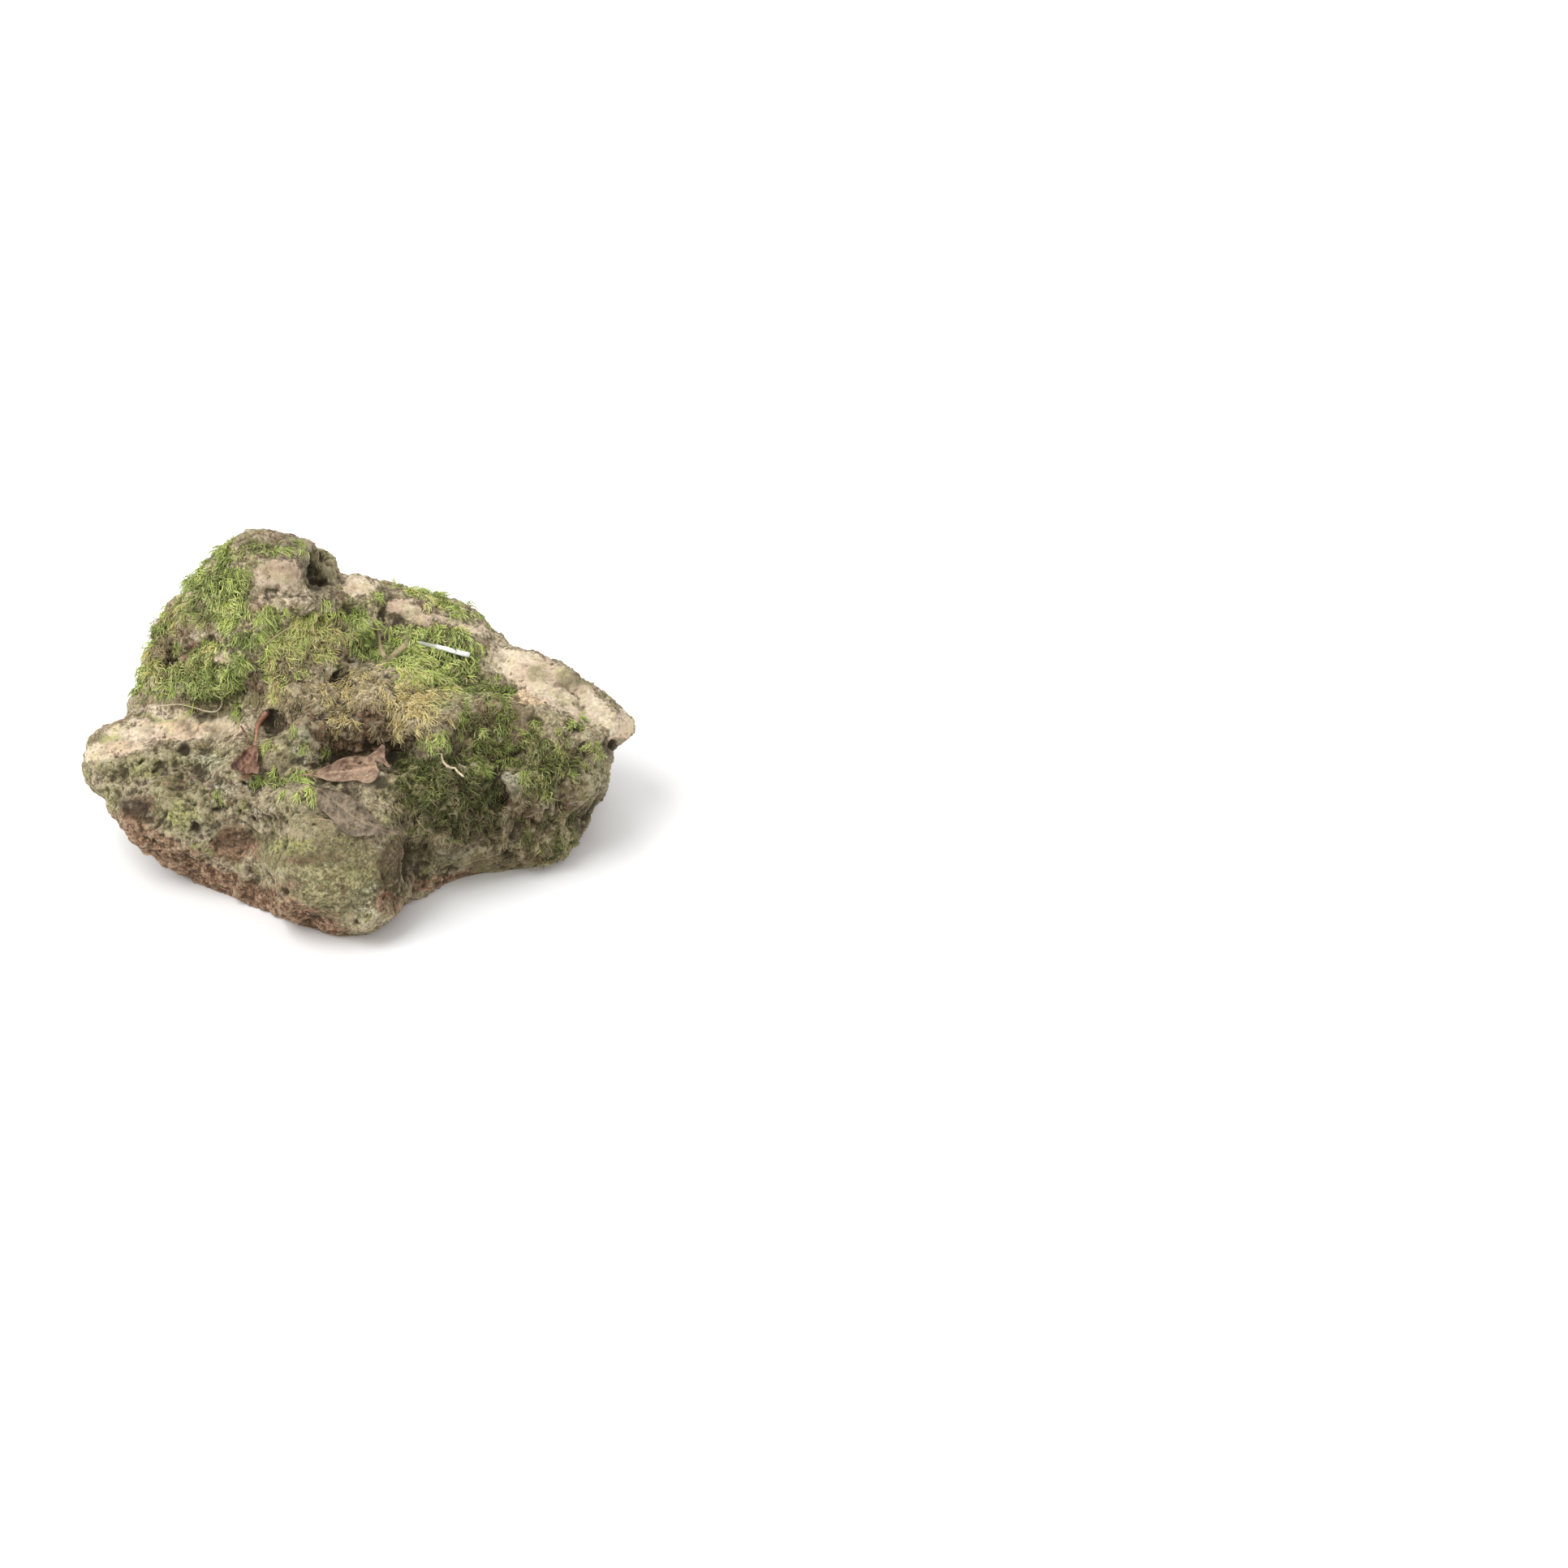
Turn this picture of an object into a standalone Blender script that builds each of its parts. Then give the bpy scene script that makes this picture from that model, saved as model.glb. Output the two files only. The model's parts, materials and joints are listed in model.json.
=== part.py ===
"""Mossy rock: a weathered limestone stone with mats of moss, fallen leaves and dry stems lying on it.

Metres, +Z up. The origin is the middle of the stone's footprint box, on the surface it stands on.
+X runs to the stone's low right end and +Y to its back.
"""

import math

import bmesh
import bpy
import numpy as np
from mathutils import Euler, Matrix, Vector, noise
from mathutils.bvhtree import BVHTree
from mathutils.kdtree import KDTree

MM = 0.001

# The way the stone was read. Its outline and relief are laid out on a sheet, in millimetres, as they appear
# from one point in front of the stone and above it: "across" runs right and "up" runs up the sheet.
EYE_DISTANCE = 2300 * MM
EYE_ABOVE = math.radians(32.0)
STONE_MIDDLE = Vector((0, 0, 90 * MM))
SIGHT_TURN = math.radians(7.96)
SIGHT_DOWN = math.radians(33.37)
SHEET_ACROSS = 272.0
SHEET_UP = 98.3

EYE = STONE_MIDDLE + EYE_DISTANCE * Vector((0, -math.cos(EYE_ABOVE), math.sin(EYE_ABOVE)))
SIGHT_RIGHT = np.array([math.cos(SIGHT_TURN), -math.sin(SIGHT_TURN), 0])
SIGHT_FORWARD = np.array(
    [
        math.sin(SIGHT_TURN) * math.cos(SIGHT_DOWN),
        math.cos(SIGHT_TURN) * math.cos(SIGHT_DOWN),
        -math.sin(SIGHT_DOWN),
    ]
)
SIGHT_UPWARD = np.cross(SIGHT_RIGHT, SIGHT_FORWARD)

SKIN_VOXEL = 3.6 * MM
ROCK_TRIANGLES = 6500

# The stone's masses: name, centre, half sizes and turn about Z in degrees, in millimetres.
MASSES = (
    ("core", (5, 5, 38), (130, 98, 82), 0),
    ("back", (0, 62, 42), (120, 60, 84), 0),
    ("shelf", (-112, -4, 56), (66, 58, 30), -12),
    ("peak", (-56, 48, 108), (56, 50, 88), 0),
    ("peak_shoulder", (-98, 42, 78), (48, 48, 62), 0),
    ("saddle", (5, 62, 92), (58, 40, 60), 0),
    ("ridge", (62, 50, 80), (62, 42, 56), 0),
    ("ridge_end", (122, 12, 74), (60, 46, 32), -20),
    ("right_mass", (85, -18, 40), (62, 54, 56), 0),
    ("right_foot", (100, -20, 10), (48, 48, 34), 0),
    ("knob", (-20, -78, 34), (50, 48, 52), 0),
    ("left_skirt", (-82, -34, 18), (66, 52, 40), 35),
    ("back_foot", (2, 56, 16), (146, 64, 66), 0),
)

# The outline that the stone shows, clockwise from the top of the peak.
OUTLINE = (
    (-70, 263), (-54, 262), (-39, 259), (-23, 254), (-15, 243), (-12, 236), (-9, 233), (5, 233),
    (21, 228), (43, 221), (70, 214), (82, 204), (85, 198), (96, 190), (111, 186), (123, 179),
    (137, 175), (149, 166), (163, 153), (176, 140), (178, 133), (175, 124), (163, 115), (162, 108),
    (160, 92), (151, 78), (145, 66), (135, 53), (122, 44), (98, 42), (72, 39), (49, 31),
    (31, 22), (21, 10), (8, 2), (-13, 0), (-39, 8), (-65, 18), (-96, 30), (-122, 43),
    (-144, 57), (-158, 74), (-167, 88), (-176, 96), (-179, 110), (-177, 123), (-168, 135),
    (-155, 140), (-149, 151), (-142, 161), (-138, 177), (-131, 201), (-122, 215), (-110, 227),
    (-96, 242), (-83, 255),
)
OUTLINE_MIDDLE = (-4, 118)

# Relief on the side that shows: name, place on the sheet, half width and height, turn in degrees and
# push along the surface, in millimetres. A minus push is a hollow.
RELIEF = (
    ("block_face", (-52, 225), (22, 20), 0, 7),
    ("recess_beside_block", (-24, 237), (9, 15), 0, -20),
    ("lip_under_recess", (-20, 214), (13, 9), 0, 5),
    ("saddle_boulder", (2, 221), (17, 12), 0, 6),
    ("crack_in_crest", (17, 217), (4, 13), 0, -4),
    ("crest_boulder", (38, 211), (25, 10), -25, 6),
    ("flank_lump", (-107, 198), (14, 10), 0, 6),
    ("flank_hollow", (-95, 203), (13, 7), 30, -5),
    ("flank_crack", (-121, 170), (6, 17), 0, -11),
    ("brow_of_moss_lump", (-86, 177), (25, 15), 20, 9),
    ("lump_beside_brow", (-58, 190), (20, 14), 0, 5),
    ("slope_lump", (-30, 168), (22, 15), 0, 6),
    ("slope_lump_low", (8, 152), (17, 11), 0, 5),
    ("slope_pit", (-11, 166), (8, 8), 0, -7),
    ("slope_groove", (4, 181), (6, 14), 10, -6),
    ("gap_behind_boulders", (-55, 137), (10, 8), 0, -9),
    ("boulder_left", (-56, 118), (12, 11), 0, 6),
    ("boulder_middle", (-30, 130), (14, 17), 0, 7),
    ("boulder_right", (-6, 131), (12, 12), 0, 5),
    ("litter_hollow", (4, 118), (34, 13), 0, -12),
    ("gap_by_leaf", (25, 114), (9, 10), 0, -8),
    ("hanging_lump", (43, 139), (20, 14), 0, 9),
    ("hollow_under_hanging_lump", (61, 117), (9, 12), 0, -6),
    ("grey_lump", (53, 98), (14, 16), 0, 6),
    ("dark_hollow", (88, 95), (9, 18), 0, -10),
    ("crystal_lump", (109, 93), (10, 17), 0, 6),
    ("right_lump_high", (133, 133), (22, 13), -20, 5),
    ("right_lump_low", (143, 103), (16, 18), 0, 8),
    ("tip_notch", (162, 118), (8, 7), 0, -6),
    ("right_crevice", (147, 74), (9, 22), -30, -9),
    ("ridge_boulder", (138, 166), (16, 8), -30, 5),
    ("ridge_boulder_shadow", (133, 158), (13, 4), -30, -4),
    ("foot_lobe", (115, 54), (22, 12), 10, 7),
    ("knob_body", (-15, 46), (42, 44), 0, 10),
    ("knob_brow", (-40, 89), (32, 11), 0, 5),
    ("knob_dimple", (-28, 50), (18, 8), 0, -3),
    ("recess_right_of_knob", (38, 46), (11, 24), 0, -14),
    ("brown_recess", (-82, 61), (20, 14), -15, -8),
    ("skirt_knuckle", (-104, 80), (11, 12), 0, 5),
    ("skirt_step", (-73, 83), (15, 9), 0, 4),
    ("shelf_cavity", (-136, 81), (20, 11), -30, -7),
    ("shelf_front_hollow", (-117, 107), (17, 7), 0, -7),
    ("shelf_lip", (-129, 93), (17, 7), -20, 4),
    ("shelf_nose", (-164, 116), (13, 12), 0, 4),
    ("shelf_nose_pit", (-156, 103), (12, 7), 0, -5),
    ("shelf_pit", (-102, 136), (6, 5), 0, -5),
    ("shelf_shoulder", (-85, 102), (16, 12), 0, 5),
)

# Broken faces on the side that shows: name, place on the sheet, half width and height, turn, and the way
# the face looks, as degrees to the right of straight ahead and degrees above level.
BROKEN_FACES = (
    ("block_face", (-55, 227), (20, 20), 0, -8, 18),
    ("outer_flank", (-118, 188), (17, 30), -20, -55, 35),
    ("inner_flank", (-88, 222), (15, 20), 0, -30, 45),
    ("shelf_top", (-122, 136), (48, 14), 0, -5, 72),
    ("shelf_front", (-128, 104), (42, 13), 0, -15, 8),
    ("middle_slope", (-22, 188), (40, 18), 0, 8, 48),
    ("ridge_slope", (122, 160), (46, 15), -33, 22, 52),
    ("crest_slope", (52, 190), (28, 17), -20, 12, 50),
    ("right_face", (84, 132), (30, 24), 0, 12, 30),
    ("right_low", (116, 80), (26, 16), 0, 22, 8),
    ("leaf_ledge", (-8, 109), (38, 8), 0, 0, 76),
    ("knob_top", (-20, 84), (38, 12), 0, 8, 50),
    ("knob_front", (-8, 38), (34, 26), 0, 12, 8),
    ("skirt", (-78, 66), (38, 14), -25, -28, 12),
)

# Moss mats: name, outline on the sheet, thickness and triangles.
MOSS_MATS = (
    ("moss_peak", ((-105, 236), (-90, 250), (-70, 254), (-40, 253), (-40, 247), (-72, 244), (-74, 236),
        (-70, 226), (-72, 206), (-94, 203), (-114, 208), (-114, 222)), 5.0, 140),
    ("moss_outer_flank", ((-131, 206), (-120, 208), (-112, 198), (-110, 192), (-124, 184), (-125, 160),
        (-142, 156), (-140, 178), (-134, 196)), 4.0, 100),
    ("moss_brow", ((-119, 173), (-110, 183), (-96, 196), (-76, 198), (-72, 186), (-76, 172), (-78, 157),
        (-90, 150), (-113, 151), (-120, 160)), 6.0, 150),
    ("moss_middle", ((-66, 216), (-46, 213), (-20, 212), (-8, 208), (-16, 192), (-24, 178), (-44, 168),
        (-58, 160), (-66, 172), (-64, 190), (-66, 202)), 5.0, 180),
    ("moss_saddle", ((-6, 217), (9, 214), (10, 198), (8, 182), (-6, 182), (-9, 200)), 3.5, 80),
    ("moss_ridge", ((16, 209), (30, 202), (62, 200), (78, 186), (76, 170), (56, 164), (30, 167), (22, 178),
        (26, 190), (18, 198)), 5.0, 150),
    ("moss_gold", ((20, 160), (52, 161), (56, 146), (54, 132), (38, 128), (22, 134)), 5.0, 110),
    ("moss_gold_small", ((-24, 149), (-4, 149), (-2, 130), (-22, 130)), 3.5, 60),
    ("moss_right_high", ((62, 162), (88, 168), (102, 158), (100, 142), (104, 124), (98, 114), (84, 112),
        (70, 118), (63, 132), (64, 148)), 5.0, 150),
    ("moss_right_low", ((22, 110), (40, 120), (60, 118), (72, 106), (84, 104), (90, 94), (84, 72), (66, 62),
        (40, 70), (22, 84)), 4.0, 180),
    ("moss_right_end", ((112, 140), (130, 144), (152, 140), (150, 116), (132, 96), (108, 92), (106, 106),
        (112, 118)), 3.5, 140),
    ("moss_ledge", ((-64, 107), (-42, 112), (-38, 102), (-32, 88), (-50, 92)), 3.0, 70),
    ("moss_foot", ((98, 60), (116, 68), (142, 64), (140, 52), (120, 45), (100, 45)), 3.0, 70),
)
# Moss behind the skyline and on the back: name, both ends of its middle line in space, reach in
# millimetres, thickness and triangles.
BACK_MOSS = (
    ("moss_crest", (22, 84, 143), (84, 62, 122), 15, 4.5, 120),
    ("moss_back_peak", (-84, 84, 158), (-62, 98, 128), 24, 4.0, 90),
    ("moss_back_ridge", (40, 106, 92), (92, 96, 78), 22, 4.0, 100),
)
ROCK_GAP = 0.65 * MM
MAT_ROOT = 6 * MM
MAT_SPREAD = 4.0
MATS_APART = 5.5
LOWEST_MOSS = 12 * MM

# Flat leaves: name, stations along the midrib as place on the sheet and half width to each side,
# and how far the rim curls up, in millimetres.
LEAVES = (
    ("leaf_upper", ((-36, 103, 0.5, 0.5), (-30, 104, 2, 1.5), (-22, 105, 6, 4), (-12, 107, 8.5, 6.5),
        (-2, 109, 9.5, 8.5), (6, 110, 9.5, 10), (11, 111, 10.5, 11), (15, 112, 11, 9)), 1.6),
    ("leaf_lower", ((-25, 95, 3.5, 2), (-19, 91, 7, 6), (-12, 86, 8.5, 9), (-4, 80, 9.5, 10.5),
        (4, 75, 8.5, 10), (12, 71, 6.5, 7), (20, 68, 3.5, 3), (26, 66, 0.5, 0.5)), 0.6),
    ("leaf_curled", ((-66, 129, 1, 1), (-68, 124, 3, 4), (-70, 118, 4, 7), (-71, 112, 4, 9),
        (-73, 106, 3, 8), (-78, 103, 2, 4)), 5.0),
)
LEAF_THICKNESS = 0.7
LEAF_LIFT = 1.3

# Stems: name, places on the sheet, radius at both ends, and lift off the stone, in millimetres.
STEMS = (
    ("leaf_stalk", ((-59, 144), (-63, 141), (-65, 136), (-66, 131)), (1.0, 1.3), 3.0),
    ("grass_stem", ((-133, 150), (-124, 151), (-114, 150), (-104, 147), (-95, 145), (-89, 146)), (0.7, 0.9), 1.0),
    ("bleached_stem", ((38, 189), (46, 187), (54, 185), (62, 183), (70, 181)), (1.0, 2.0), 3.0),
    ("snapped_twig", ((12, 199), (13, 191), (14, 183), (17, 179)), (1.5, 2.2), 2.0),
    ("snapped_twig_end", ((19, 178), (24, 182), (28, 187)), (2.0, 1.2), 2.0),
    ("fine_twig", ((-61, 188), (-52, 194), (-43, 200)), (0.6, 0.6), 4.0),
    ("pale_stalk", ((53, 117), (55, 110), (60, 106), (66, 103)), (1.2, 1.0), 3.0),
)

# Colours as the photograph shows them, roughness, and which pieces have them.
COLOURS = {
    "limestone": ((0.36, 0.28, 0.19), 0.92),
    "green_moss": ((0.16, 0.26, 0.045), 0.9),
    "dark_moss": ((0.07, 0.11, 0.03), 0.92),
    "gold_moss": ((0.34, 0.26, 0.07), 0.9),
    "tan_leaf": ((0.36, 0.22, 0.16), 0.75),
    "grey_leaf": ((0.26, 0.2, 0.15), 0.8),
    "red_leaf": ((0.2, 0.075, 0.045), 0.6),
    "straw": ((0.5, 0.38, 0.26), 0.7),
    "bleached": ((0.72, 0.78, 0.78), 0.6),
    "dead_wood": ((0.3, 0.22, 0.16), 0.85),
}
PIECE_COLOURS = {
    "rock": "limestone",
    "moss_gold": "gold_moss",
    "moss_gold_small": "gold_moss",
    "moss_right_low": "dark_moss",
    "moss_foot": "dark_moss",
    "moss_saddle": "dark_moss",
    "leaf_upper": "tan_leaf",
    "leaf_lower": "grey_leaf",
    "leaf_curled": "red_leaf",
    "leaf_stalk": "red_leaf",
    "grass_stem": "straw",
    "bleached_stem": "bleached",
    "snapped_twig": "dead_wood",
    "snapped_twig_end": "dead_wood",
    "fine_twig": "dead_wood",
    "pale_stalk": "straw",
}


def clear_scene():
    for thing in list(bpy.data.objects):
        bpy.data.objects.remove(thing, do_unlink=True)


def smooth_step(values, low, high):
    share = np.clip((values - low) / (high - low), 0, 1)
    return share * share * (3 - 2 * share)


def on_sheet(points):
    """Where points appear on the sheet, in millimetres, and how far off they are in metres."""
    ray = points - np.array(EYE)
    away = ray @ SIGHT_FORWARD
    across = SHEET_ACROSS + EYE_DISTANCE / MM * (ray @ SIGHT_RIGHT) / away
    up = SHEET_UP + EYE_DISTANCE / MM * (ray @ SIGHT_UPWARD) / away
    return across, up, away


def points_of(mesh):
    points = np.empty(len(mesh.vertices) * 3)
    mesh.vertices.foreach_get("co", points)
    return points.reshape(-1, 3)


def normals_of(mesh):
    normals = np.empty(len(mesh.vertices) * 3)
    mesh.vertex_normals.foreach_get("vector", normals)
    return normals.reshape(-1, 3)


def move_points(mesh, points):
    mesh.vertices.foreach_set("co", points.astype(np.float32).ravel())
    mesh.update()


def settled(thing):
    """The object's mesh with its modifiers applied; the object itself is removed."""
    graph = bpy.context.evaluated_depsgraph_get()
    mesh = bpy.data.meshes.new_from_object(thing.evaluated_get(graph))
    bpy.data.objects.remove(thing, do_unlink=True)
    return mesh


def rough_masses():
    """The masses as one skin: overlapping ellipsoids, remeshed and smoothed."""
    shape = bmesh.new()
    for _, centre, half, turn in MASSES:
        place = Matrix.LocRotScale(
            Vector(centre) * MM, Euler((0, 0, math.radians(turn))), Vector(half) * MM
        )
        bmesh.ops.create_icosphere(shape, subdivisions=4, radius=1, matrix=place)
    mesh = bpy.data.meshes.new("masses")
    shape.to_mesh(mesh)
    shape.free()
    thing = bpy.data.objects.new("masses", mesh)
    bpy.context.scene.collection.objects.link(thing)
    skin = thing.modifiers.new("one_skin", "REMESH")
    skin.mode = "VOXEL"
    skin.voxel_size = SKIN_VOXEL
    soften = thing.modifiers.new("soften", "SMOOTH")
    soften.factor = 0.6
    soften.iterations = 18
    return settled(thing)


def outline_reach(angles):
    """How far the outline reaches from its middle at each angle, in millimetres."""
    away = np.array(OUTLINE, float) - OUTLINE_MIDDLE
    ring = np.vstack([away, away[:1]])
    share = np.linspace(0, 1, 12, endpoint=False)[:, None]
    fine = np.vstack([a + share * (b - a) for a, b in zip(ring[:-1], ring[1:])])
    angle = np.arctan2(fine[:, 1], fine[:, 0])
    order = np.argsort(angle)
    reach = np.hypot(fine[:, 0], fine[:, 1])
    return np.interp(angles, angle[order], reach[order], period=2 * math.pi)


def fit_outline(mesh, begins, spread, bins=180):
    """Stretches the shape across the sheet until its rim follows the outline."""
    points, normals = points_of(mesh), normals_of(mesh)
    to_eye = np.array(EYE) - points
    to_eye /= np.linalg.norm(to_eye, axis=1)[:, None]
    not_back = smooth_step((normals * to_eye).sum(axis=1), -0.85, -0.3)
    across, up, away = on_sheet(points)
    right, high = across - OUTLINE_MIDDLE[0], up - OUTLINE_MIDDLE[1]
    angle, reach = np.arctan2(high, right), np.hypot(right, high)
    edges = np.linspace(-math.pi, math.pi, bins + 1)
    middle = (edges[:-1] + edges[1:]) / 2
    rim = np.ones(bins)
    seen = points[:, 2] > -1 * MM
    np.maximum.at(rim, np.clip(np.digitize(angle[seen], edges) - 1, 0, bins - 1), reach[seen])
    change = outline_reach(middle) / rim - 1
    for _ in range(spread):
        change = 0.5 * change + 0.25 * (np.roll(change, 1) + np.roll(change, -1))
    stretch = np.interp(angle, middle, change, period=2 * math.pi)
    share = reach / np.interp(angle, middle, rim, period=2 * math.pi)
    scale = stretch * not_back * smooth_step(share, begins, 0.97) * away / EYE_DISTANCE * MM
    move_right, move_up = scale * right, scale * high
    # near the ground the outline is met by moving forward or back, higher up by rising or sinking too
    rising = smooth_step(points[:, 2], 5 * MM, 60 * MM)
    moved = points + move_right[:, None] * SIGHT_RIGHT
    sine, cosine = math.sin(EYE_ABOVE), math.cos(EYE_ABOVE)
    moved[:, 1] += move_up * (rising * sine + (1 - rising) / sine)
    moved[:, 2] += move_up * rising * cosine
    move_points(mesh, moved)


def rough_surface(points, normals):
    """Boulders, ledges and uneven ground all over the stone."""
    push = np.empty(len(points))
    for i, point in enumerate(points / MM):
        place = Vector(point)
        near, _ = noise.voronoi(place / 34, distance_metric="DISTANCE", exponent=2.5)
        boulder = 1 - min(near[0] / 0.62, 1) ** 2
        rolling = noise.fractal(place / 48 + Vector((7, 3, 1)), 1.0, 2.2, 4)
        bed = (place.z * 0.9 + place.y * 0.35 - place.x * 0.15) / 27 + 0.8 * rolling
        ledge = abs((bed % 1.0) - 0.5) * 2
        push[i] = 5.0 * (boulder - 0.55) + 5.0 * rolling + 3.0 * (ledge - 0.5)
    return points + normals * (push * MM)[:, None]


def facing_eye(points, normals):
    """The way from each point to the eye, and how far each point faces it, from 0 to 1."""
    to_eye = np.array(EYE) - points
    to_eye /= np.linalg.norm(to_eye, axis=1)[:, None]
    return to_eye, smooth_step((normals * to_eye).sum(axis=1), 0.05, 0.4)


def within(across, up, place, half, turn):
    """How far off a place on the sheet points are: 0 in its middle and 1 on its rim."""
    cosine, sine = math.cos(math.radians(turn)), math.sin(math.radians(turn))
    along = ((across - place[0]) * cosine + (up - place[1]) * sine) / half[0]
    over = ((up - place[1]) * cosine - (across - place[0]) * sine) / half[1]
    return (np.abs(along) ** 3 + np.abs(over) ** 3) ** (1 / 3)


def break_faces(points, normals):
    """Brings the named faces near to flat, as the stone broke there."""
    across, up, _ = on_sheet(points)
    _, facing = facing_eye(points, normals)
    moved = points.copy()
    for _, place, half, turn, right, above in BROKEN_FACES:
        share = (1 - smooth_step(within(across, up, place, half, turn), 0.6, 1.1)) * facing
        core = share > 0.5
        right, above = math.radians(right), math.radians(above)
        way = np.array([math.sin(right) * math.cos(above), -math.cos(right) * math.cos(above), math.sin(above)])
        height = (moved - moved[core].mean(axis=0)) @ way
        moved -= (0.75 * share * height)[:, None] * way
    return moved


def carve_relief(points, normals):
    """Pushes the named lumps out and the hollows in, on the side that faces the eye."""
    across, up, _ = on_sheet(points)
    to_eye, facing = facing_eye(points, normals)
    way = normals + to_eye
    way /= np.linalg.norm(way, axis=1)[:, None]
    total = np.zeros(len(points))
    for _, place, half, turn, push in RELIEF:
        total += push * (1 - smooth_step(within(across, up, place, half, turn), 0.5, 1.15))
    return points + way * (total * facing * MM)[:, None]


def remeshed(mesh, voxel, rounds):
    thing = bpy.data.objects.new("skin", mesh)
    bpy.context.scene.collection.objects.link(thing)
    skin = thing.modifiers.new("one_skin", "REMESH")
    skin.mode = "VOXEL"
    skin.voxel_size = voxel
    soften = thing.modifiers.new("soften", "SMOOTH")
    soften.factor = 0.5
    soften.iterations = rounds
    return settled(thing)


def thinned(mesh, triangles):
    """The mesh with no more triangles than its shape needs."""
    thing = bpy.data.objects.new("thin", mesh)
    bpy.context.scene.collection.objects.link(thing)
    fewer = thing.modifiers.new("fewer", "DECIMATE")
    fewer.ratio = triangles / (2 * len(mesh.polygons))
    fewer.use_collapse_triangulate = True
    return settled(thing)


def cut_base(mesh):
    """Cuts the stone off flat where it stands and closes it with one face."""
    shape = bmesh.new()
    shape.from_mesh(mesh)
    whole = shape.verts[:] + shape.edges[:] + shape.faces[:]
    bmesh.ops.bisect_plane(shape, geom=whole, plane_co=(0, 0, 0), plane_no=(0, 0, -1), clear_outer=True)
    rim = [edge for edge in shape.edges if edge.is_boundary]
    bmesh.ops.dissolve_degenerate(shape, dist=0.5 * MM, edges=rim)
    rim = [edge for edge in shape.edges if edge.is_boundary]
    bmesh.ops.holes_fill(shape, edges=rim, sides=0)
    bmesh.ops.recalc_face_normals(shape, faces=shape.faces)
    shape.to_mesh(mesh)
    shape.free()


def rock_mesh():
    mesh = rough_masses()
    for _ in range(5):
        fit_outline(mesh, begins=0.0, spread=6)
    for _ in range(4):
        fit_outline(mesh, begins=0.5, spread=1)
    mesh = remeshed(mesh, SKIN_VOXEL, 3)
    move_points(mesh, break_faces(points_of(mesh), normals_of(mesh)))
    move_points(mesh, rough_surface(points_of(mesh), normals_of(mesh)))
    move_points(mesh, carve_relief(points_of(mesh), normals_of(mesh)))
    for _ in range(7):
        fit_outline(mesh, begins=0.7, spread=1)
    return remeshed(mesh, 3.0 * MM, 1)


def sheet_ray(x, y):
    """The way from the eye through a place on the sheet."""
    step = MM / EYE_DISTANCE
    way = SIGHT_FORWARD + (x - SHEET_ACROSS) * step * SIGHT_RIGHT + (y - SHEET_UP) * step * SIGHT_UPWARD
    return Vector(way)


def tree_of(meshes):
    corners, faces = [], []
    for mesh in meshes:
        first = len(corners)
        corners += [vertex.co.copy() for vertex in mesh.vertices]
        faces += [[first + i for i in face.vertices] for face in mesh.polygons]
    return BVHTree.FromPolygons(corners, faces)


def depth_at(tree, x, y, reach):
    """How far along the eye's ray the surface is at a place on the sheet, at its nearest within reach."""
    nearest = None
    for dx, dy in ((0, 0), (1, 0), (-1, 0), (0, 1), (0, -1), (0.7, 0.7), (-0.7, 0.7), (0.7, -0.7), (-0.7, -0.7)):
        ray = sheet_ray(x + dx * reach, y + dy * reach)
        hit = tree.ray_cast(EYE, ray)[0]
        if hit is not None:
            depth = (hit - EYE).dot(Vector(SIGHT_FORWARD))
            nearest = depth if nearest is None else min(nearest, depth)
    return nearest


def place_at(x, y, depth):
    return EYE + sheet_ray(x, y) * depth


def inside_and_off_rim(across, up, outline):
    """For points on the sheet: how deep inside an outline they are, minus outside it, in millimetres."""
    ring = np.array(outline, float)
    inside = np.zeros(len(across), bool)
    off = np.full(len(across), np.inf)
    for (ax, ay), (bx, by) in zip(ring, np.roll(ring, -1, axis=0)):
        crosses = (ay > up) != (by > up)
        with np.errstate(divide="ignore", invalid="ignore"):
            inside ^= crosses & (across < (bx - ax) * (up - ay) / (by - ay) + ax)
        share = ((across - ax) * (bx - ax) + (up - ay) * (by - ay)) / ((bx - ax) ** 2 + (by - ay) ** 2)
        share = np.clip(share, 0, 1)
        off = np.minimum(off, np.hypot(across - ax - share * (bx - ax), up - ay - share * (by - ay)))
    return np.where(inside, off, -off)


def wandering_rim(points):
    """Uneven millimetres that make a mat's rim wander."""
    return np.array([noise.fractal(Vector(point) / (11 * MM), 1.0, 2.0, 2) for point in points]) * 5


def mat_body(name, fine, deep, thickness, triangles):
    """A closed mat over the part of the stone where deep is more than zero."""
    points, normals = points_of(fine), normals_of(fine)
    chosen = deep > 0
    swell = -1.2 + (thickness + 1.2) * smooth_step(deep, 0, 7)
    top = points + normals * (swell * MM)[:, None]
    root = points - normals * MAT_ROOT
    shape = bmesh.new()
    faces = [face.vertices[:] for face in fine.polygons if all(chosen[i] for i in face.vertices)]
    used = sorted({i for face in faces for i in face})
    upper = {i: shape.verts.new(top[i]) for i in used}
    lower = {i: shape.verts.new(root[i]) for i in used}
    sides = {}
    for face in faces:
        shape.faces.new([upper[i] for i in face])
        shape.faces.new([lower[i] for i in reversed(face)])
        for a, b in zip(face, face[1:] + face[:1]):
            if (b, a) in sides:
                del sides[(b, a)]
            else:
                sides[(a, b)] = True
    for a, b in sides:
        shape.faces.new([upper[b], upper[a], lower[a], lower[b]])
    body = bpy.data.meshes.new(name)
    shape.to_mesh(body)
    shape.free()
    body = remeshed(body, 2.6 * MM, 5)
    return thinned(body, triangles)


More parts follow.
